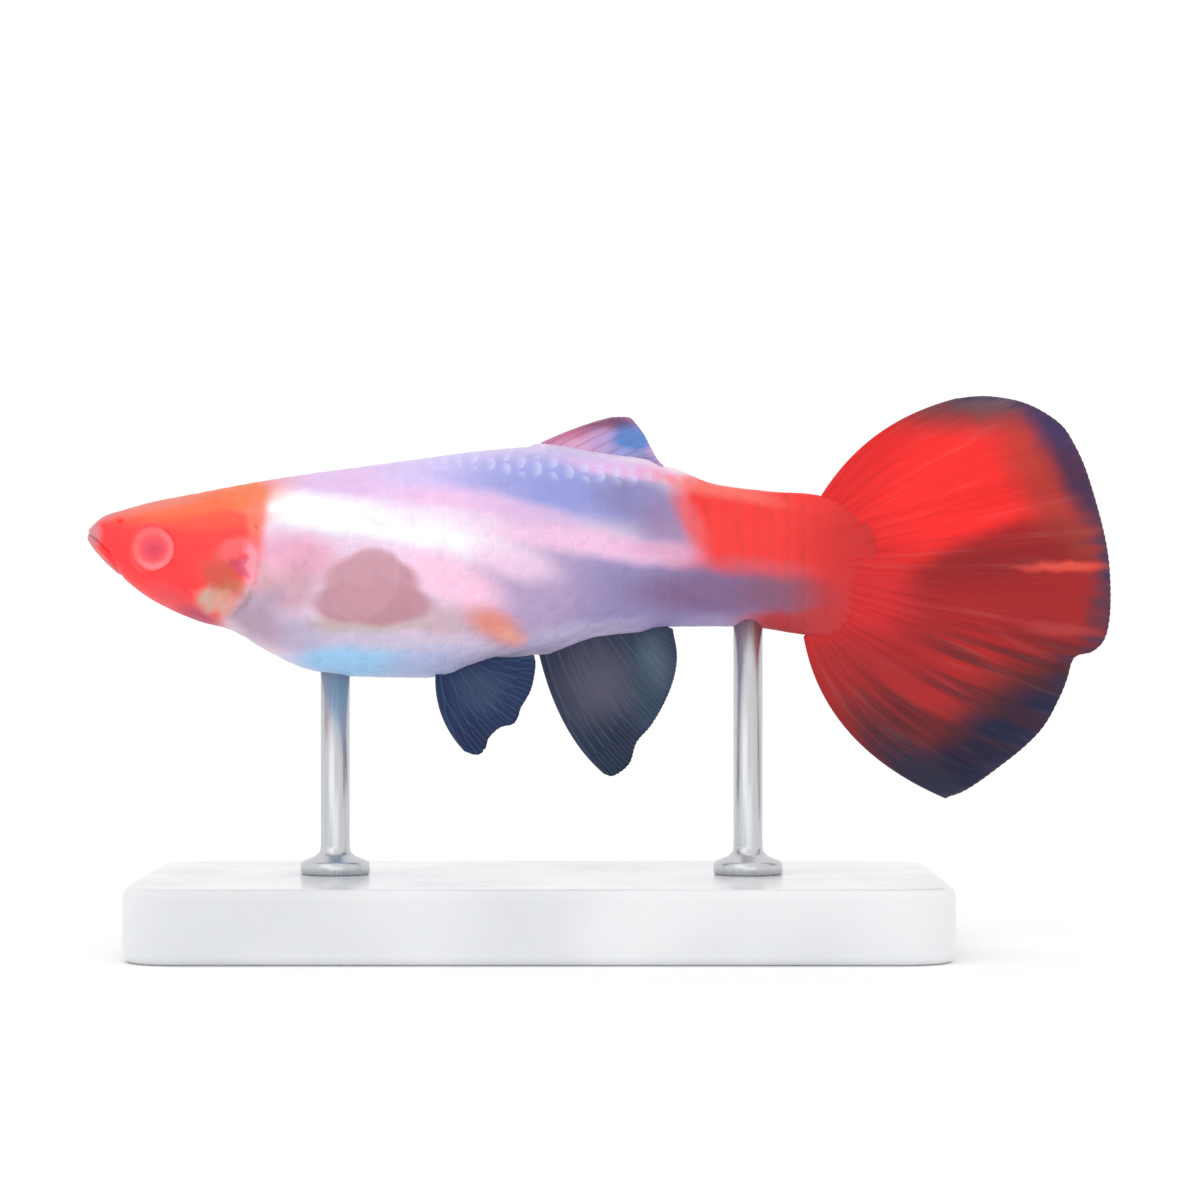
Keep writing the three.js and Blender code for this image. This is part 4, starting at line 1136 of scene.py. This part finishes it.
def make_camera():
    """A long lens, so that near and far fins keep nearly the same size."""
    camera = bpy.data.cameras.new("camera")
    camera.lens = LENS
    camera.sensor_width = SENSOR
    camera.clip_start = 0.005
    camera.clip_end = 10.0
    piece = bpy.data.objects.new("camera", camera)
    away = VIEW_WIDTH * MM * LENS / SENSOR
    piece.location = metres((VIEW_MIDDLE[0], 0, VIEW_MIDDLE[1])) - Vector((0, away, 0))
    piece.rotation_euler = (math.pi / 2, 0, 0)
    bpy.context.collection.objects.link(piece)
    bpy.context.scene.camera = piece


def colour_setting(name, description, hex_colour):
    """A colour that can be changed in the sidebar."""
    return bpy.props.FloatVectorProperty(
        name=name, description=description, default=linear(hex_colour), size=4, subtype="COLOR", min=0, max=1)


def length_setting(name, description, millimetres):
    """A length that can be changed in the sidebar."""
    return bpy.props.FloatProperty(
        name=name, description=description, default=millimetres * MM, min=0, subtype="DISTANCE",
        unit="LENGTH", precision=6)


def count_setting(name, description, count):
    """A count that can be changed in the sidebar."""
    return bpy.props.IntProperty(name=name, description=description, default=count, min=3)


class GuppyBody(bpy.types.PropertyGroup):
    """Sizes of the body's surface and the eyes"""
    skin_rings: count_setting("Skin rings", "Rings of the skin from snout to tail", 400)
    skin_sides: count_setting("Skin sides", "Faces once round the skin", 216)
    scale_columns: count_setting("Scale columns", "Scales from head to tail", 40)
    scale_rows: count_setting("Scale rows", "Scales once round the body", 24)
    scale_lift: length_setting("Scale lift", "Height of a scale's free edge over the skin", 0.018)
    pupil: length_setting("Pupil", "Radius of the pupil", 0.6)
    iris: length_setting("Iris", "Radius of the iris", 1.24)


class GuppyColours(bpy.types.PropertyGroup):
    """Ground colours under the markings, and the stand's colours"""
    skin: colour_setting("Skin", "Pearly pink under the body's markings", "#ECD3E7")
    tail_fin: colour_setting("Tail fin", "Scarlet of the tail fin", "#E02C2C")
    dorsal_fin: colour_setting("Dorsal fin", "Rose of the dorsal fin", "#CCA0C4")
    anal_fin: colour_setting("Anal fin", "Slate of the anal fin", "#2C3A52")
    pelvic_fins: colour_setting("Pelvic fins", "Navy of the pelvic fins", "#203256")
    pectoral_fins: colour_setting("Pectoral fins", "Tint of the clear pectoral fins", "#E8C8D2")
    pupil: colour_setting("Pupil", "Red glow of the lens", "#D61640")
    iris: colour_setting("Iris", "Red of the iris", "#F23C40")
    base: colour_setting("Base", "Milky acrylic of the base", "#D6D8DB")
    rods: colour_setting("Rods", "Steel of the rods", "#CBCDD0")
    floor: colour_setting("Floor", "Studio floor", "#FCFCFC")


class GuppyStand(bpy.types.PropertyGroup):
    """Sizes of the stand's rounded edges, rods and feet"""
    corner: length_setting("Corner radius", "Radius of the base's upright edges", 3.0)
    rim: length_setting("Rim radius", "Radius of the base's upper and lower rims", 0.5)
    rod: length_setting("Rod radius", "Radius of a rod", 0.8)
    foot: length_setting("Foot radius", "Radius of a rod's foot", 1.9)


class GUPPY_OT_skin(bpy.types.Operator):
    """Make the one skin that covers all the flesh"""
    bl_idname = "guppy.skin"
    bl_label = "Skin"

    def execute(self, context):
        sizes = context.scene.guppy_body
        make_skin(context.scene.guppy_colours.skin, sizes.skin_rings, sizes.skin_sides)
        return {"FINISHED"}


class GUPPY_OT_scales(bpy.types.Operator):
    """Make the scales over the back, flanks and tail stem"""
    bl_idname = "guppy.scales"
    bl_label = "Scales"

    def execute(self, context):
        sizes = context.scene.guppy_body
        ground = context.scene.guppy_colours.skin
        make_scales(ground, sizes.scale_columns, sizes.scale_rows, sizes.scale_lift / MM)
        return {"FINISHED"}


class GUPPY_OT_eyes(bpy.types.Operator):
    """Make both eyes with their corneas"""
    bl_idname = "guppy.eyes"
    bl_label = "Eyes"

    def execute(self, context):
        sizes = context.scene.guppy_body
        colours = context.scene.guppy_colours
        for side in SIDES:
            make_eye(side, sizes.pupil / MM, sizes.iris / MM, (colours.pupil, colours.iris))
        return {"FINISHED"}


class GUPPY_OT_tail_fin(bpy.types.Operator):
    """Make the tail fin"""
    bl_idname = "guppy.tail_fin"
    bl_label = "Tail fin"

    def execute(self, context):
        red = context.scene.guppy_colours.tail_fin
        membrane = membrane_material("caudal_membrane", red, CAUDAL_PATCHES, "#B83034", 0.16,
                                     margin=("#3C3854", 0.9),
                                     broad=("#44262C", 48.6, -7.0, 6.0, 3.4, 10, 0.5, 0.7))
        make_fin("caudal_fan", caudal_fin(), membrane, ("caudal_fin",),
                 per_ray=12, rows=72)
        return {"FINISHED"}


class GUPPY_OT_middle_fins(bpy.types.Operator):
    """Make the dorsal and the anal fin"""
    bl_idname = "guppy.middle_fins"
    bl_label = "Dorsal and anal fins"

    def execute(self, context):
        colours = context.scene.guppy_colours
        rose = membrane_material("dorsal_membrane", colours.dorsal_fin, DORSAL_PATCHES, "#8C6888", 0.3,
                                 wander=0.2)
        make_fin("dorsal_fan", dorsal_fin(), rose, ("dorsal_fin",),
                 per_ray=14, rows=40)
        slate = membrane_material("anal_membrane", colours.anal_fin, ANAL_PATCHES, "#54586C", 0.45)
        make_fin("anal_fan", anal_fin(), slate, ("anal_fin",),
                 per_ray=14, rows=48)
        return {"FINISHED"}


class GUPPY_OT_paired_fins(bpy.types.Operator):
    """Make the pelvic and the pectoral fins"""
    bl_idname = "guppy.paired_fins"
    bl_label = "Pelvic and pectoral fins"

    def execute(self, context):
        colours = context.scene.guppy_colours
        navy = membrane_material("pelvic_membrane", colours.pelvic_fins, PELVIC_PATCHES, "#445476", 0.5)
        clear = membrane_material("pectoral_membrane", colours.pectoral_fins, (), "#E4C0CC", 0.5,
                                  streak=0.05, alpha=0.05)
        for side, word in SIDES.items():
            make_fin("pelvic_fan_" + word, pelvic_fin(side), navy,
                     ("pelvic_fin_" + word,), per_ray=14, rows=40)
            make_fin("pectoral_fan_" + word, pectoral_fin(side), clear,
                     ("pectoral_fin_" + word,), per_ray=8, rows=36)
        return {"FINISHED"}


class GUPPY_OT_stand(bpy.types.Operator):
    """Make the base and the two rods"""
    bl_idname = "guppy.stand"
    bl_label = "Stand"

    def execute(self, context):
        sizes = context.scene.guppy_stand
        colours = context.scene.guppy_colours
        make_base(colours.base, sizes.corner, sizes.rim)
        steel = steel_material(colours.rods)
        for node in ROD_AT:
            make_rod(node, steel, sizes.rod, sizes.foot)
        return {"FINISHED"}


class GUPPY_OT_stage(bpy.types.Operator):
    """Make the floor, lamps and camera"""
    bl_idname = "guppy.stage"
    bl_label = "Stage"

    def execute(self, context):
        make_floor(context.scene.guppy_colours.floor)
        target = metres((26, 0, 0))
        add_lamp("key_lamp", (-0.22, -0.36, 0.3), target, 0.3, 0.18)
        add_lamp("front_lamp", (0.04, -0.56, 0.05), target, 0.45, 0.3)
        add_lamp("top_lamp", (0.0, 0.02, 0.5), target, 0.4, 0.14)
        world = bpy.data.worlds.new("studio_air")
        world.use_nodes = True
        air = world.node_tree.nodes["Background"]
        air.inputs["Color"].default_value = linear("#FFFFFF")
        air.inputs["Strength"].default_value = SURROUND_STRENGTH
        context.scene.world = world
        context.scene.view_settings.view_transform = "Standard"
        make_camera()
        return {"FINISHED"}


OPERATORS = (
    GUPPY_OT_stage, GUPPY_OT_skin, GUPPY_OT_scales, GUPPY_OT_eyes, GUPPY_OT_tail_fin, GUPPY_OT_middle_fins,
    GUPPY_OT_paired_fins, GUPPY_OT_stand,
)


class GUPPY_PT_panel(bpy.types.Panel):
    """Lists the pieces of the guppy model, and the sizes and colours that can be changed"""
    bl_idname = "GUPPY_PT_panel"
    bl_label = "Guppy"
    bl_space_type = "VIEW_3D"
    bl_region_type = "UI"
    bl_category = "Guppy"

    def draw(self, context):
        for name, group in SETTINGS:
            for setting in group.__annotations__:
                self.layout.prop(getattr(context.scene, name), setting)
        for operator in OPERATORS:
            self.layout.operator(operator.bl_idname)


SETTINGS = (("guppy_body", GuppyBody), ("guppy_colours", GuppyColours), ("guppy_stand", GuppyStand))
CLASSES = (GuppyBody, GuppyColours, GuppyStand, *OPERATORS, GUPPY_PT_panel)


def register():
    """Adds the classes and the scene's settings."""
    for made in CLASSES:
        bpy.utils.register_class(made)
    for name, group in SETTINGS:
        setattr(bpy.types.Scene, name, bpy.props.PointerProperty(type=group))


def unregister():
    """Takes them away again."""
    for name, _ in SETTINGS:
        delattr(bpy.types.Scene, name)
    for made in reversed(CLASSES):
        bpy.utils.unregister_class(made)


def main():
    """Makes every piece in order."""
    register()
    for operator in OPERATORS:
        group, name = operator.bl_idname.split(".")
        getattr(getattr(bpy.ops, group), name)()


if __name__ == "__main__":
    main()
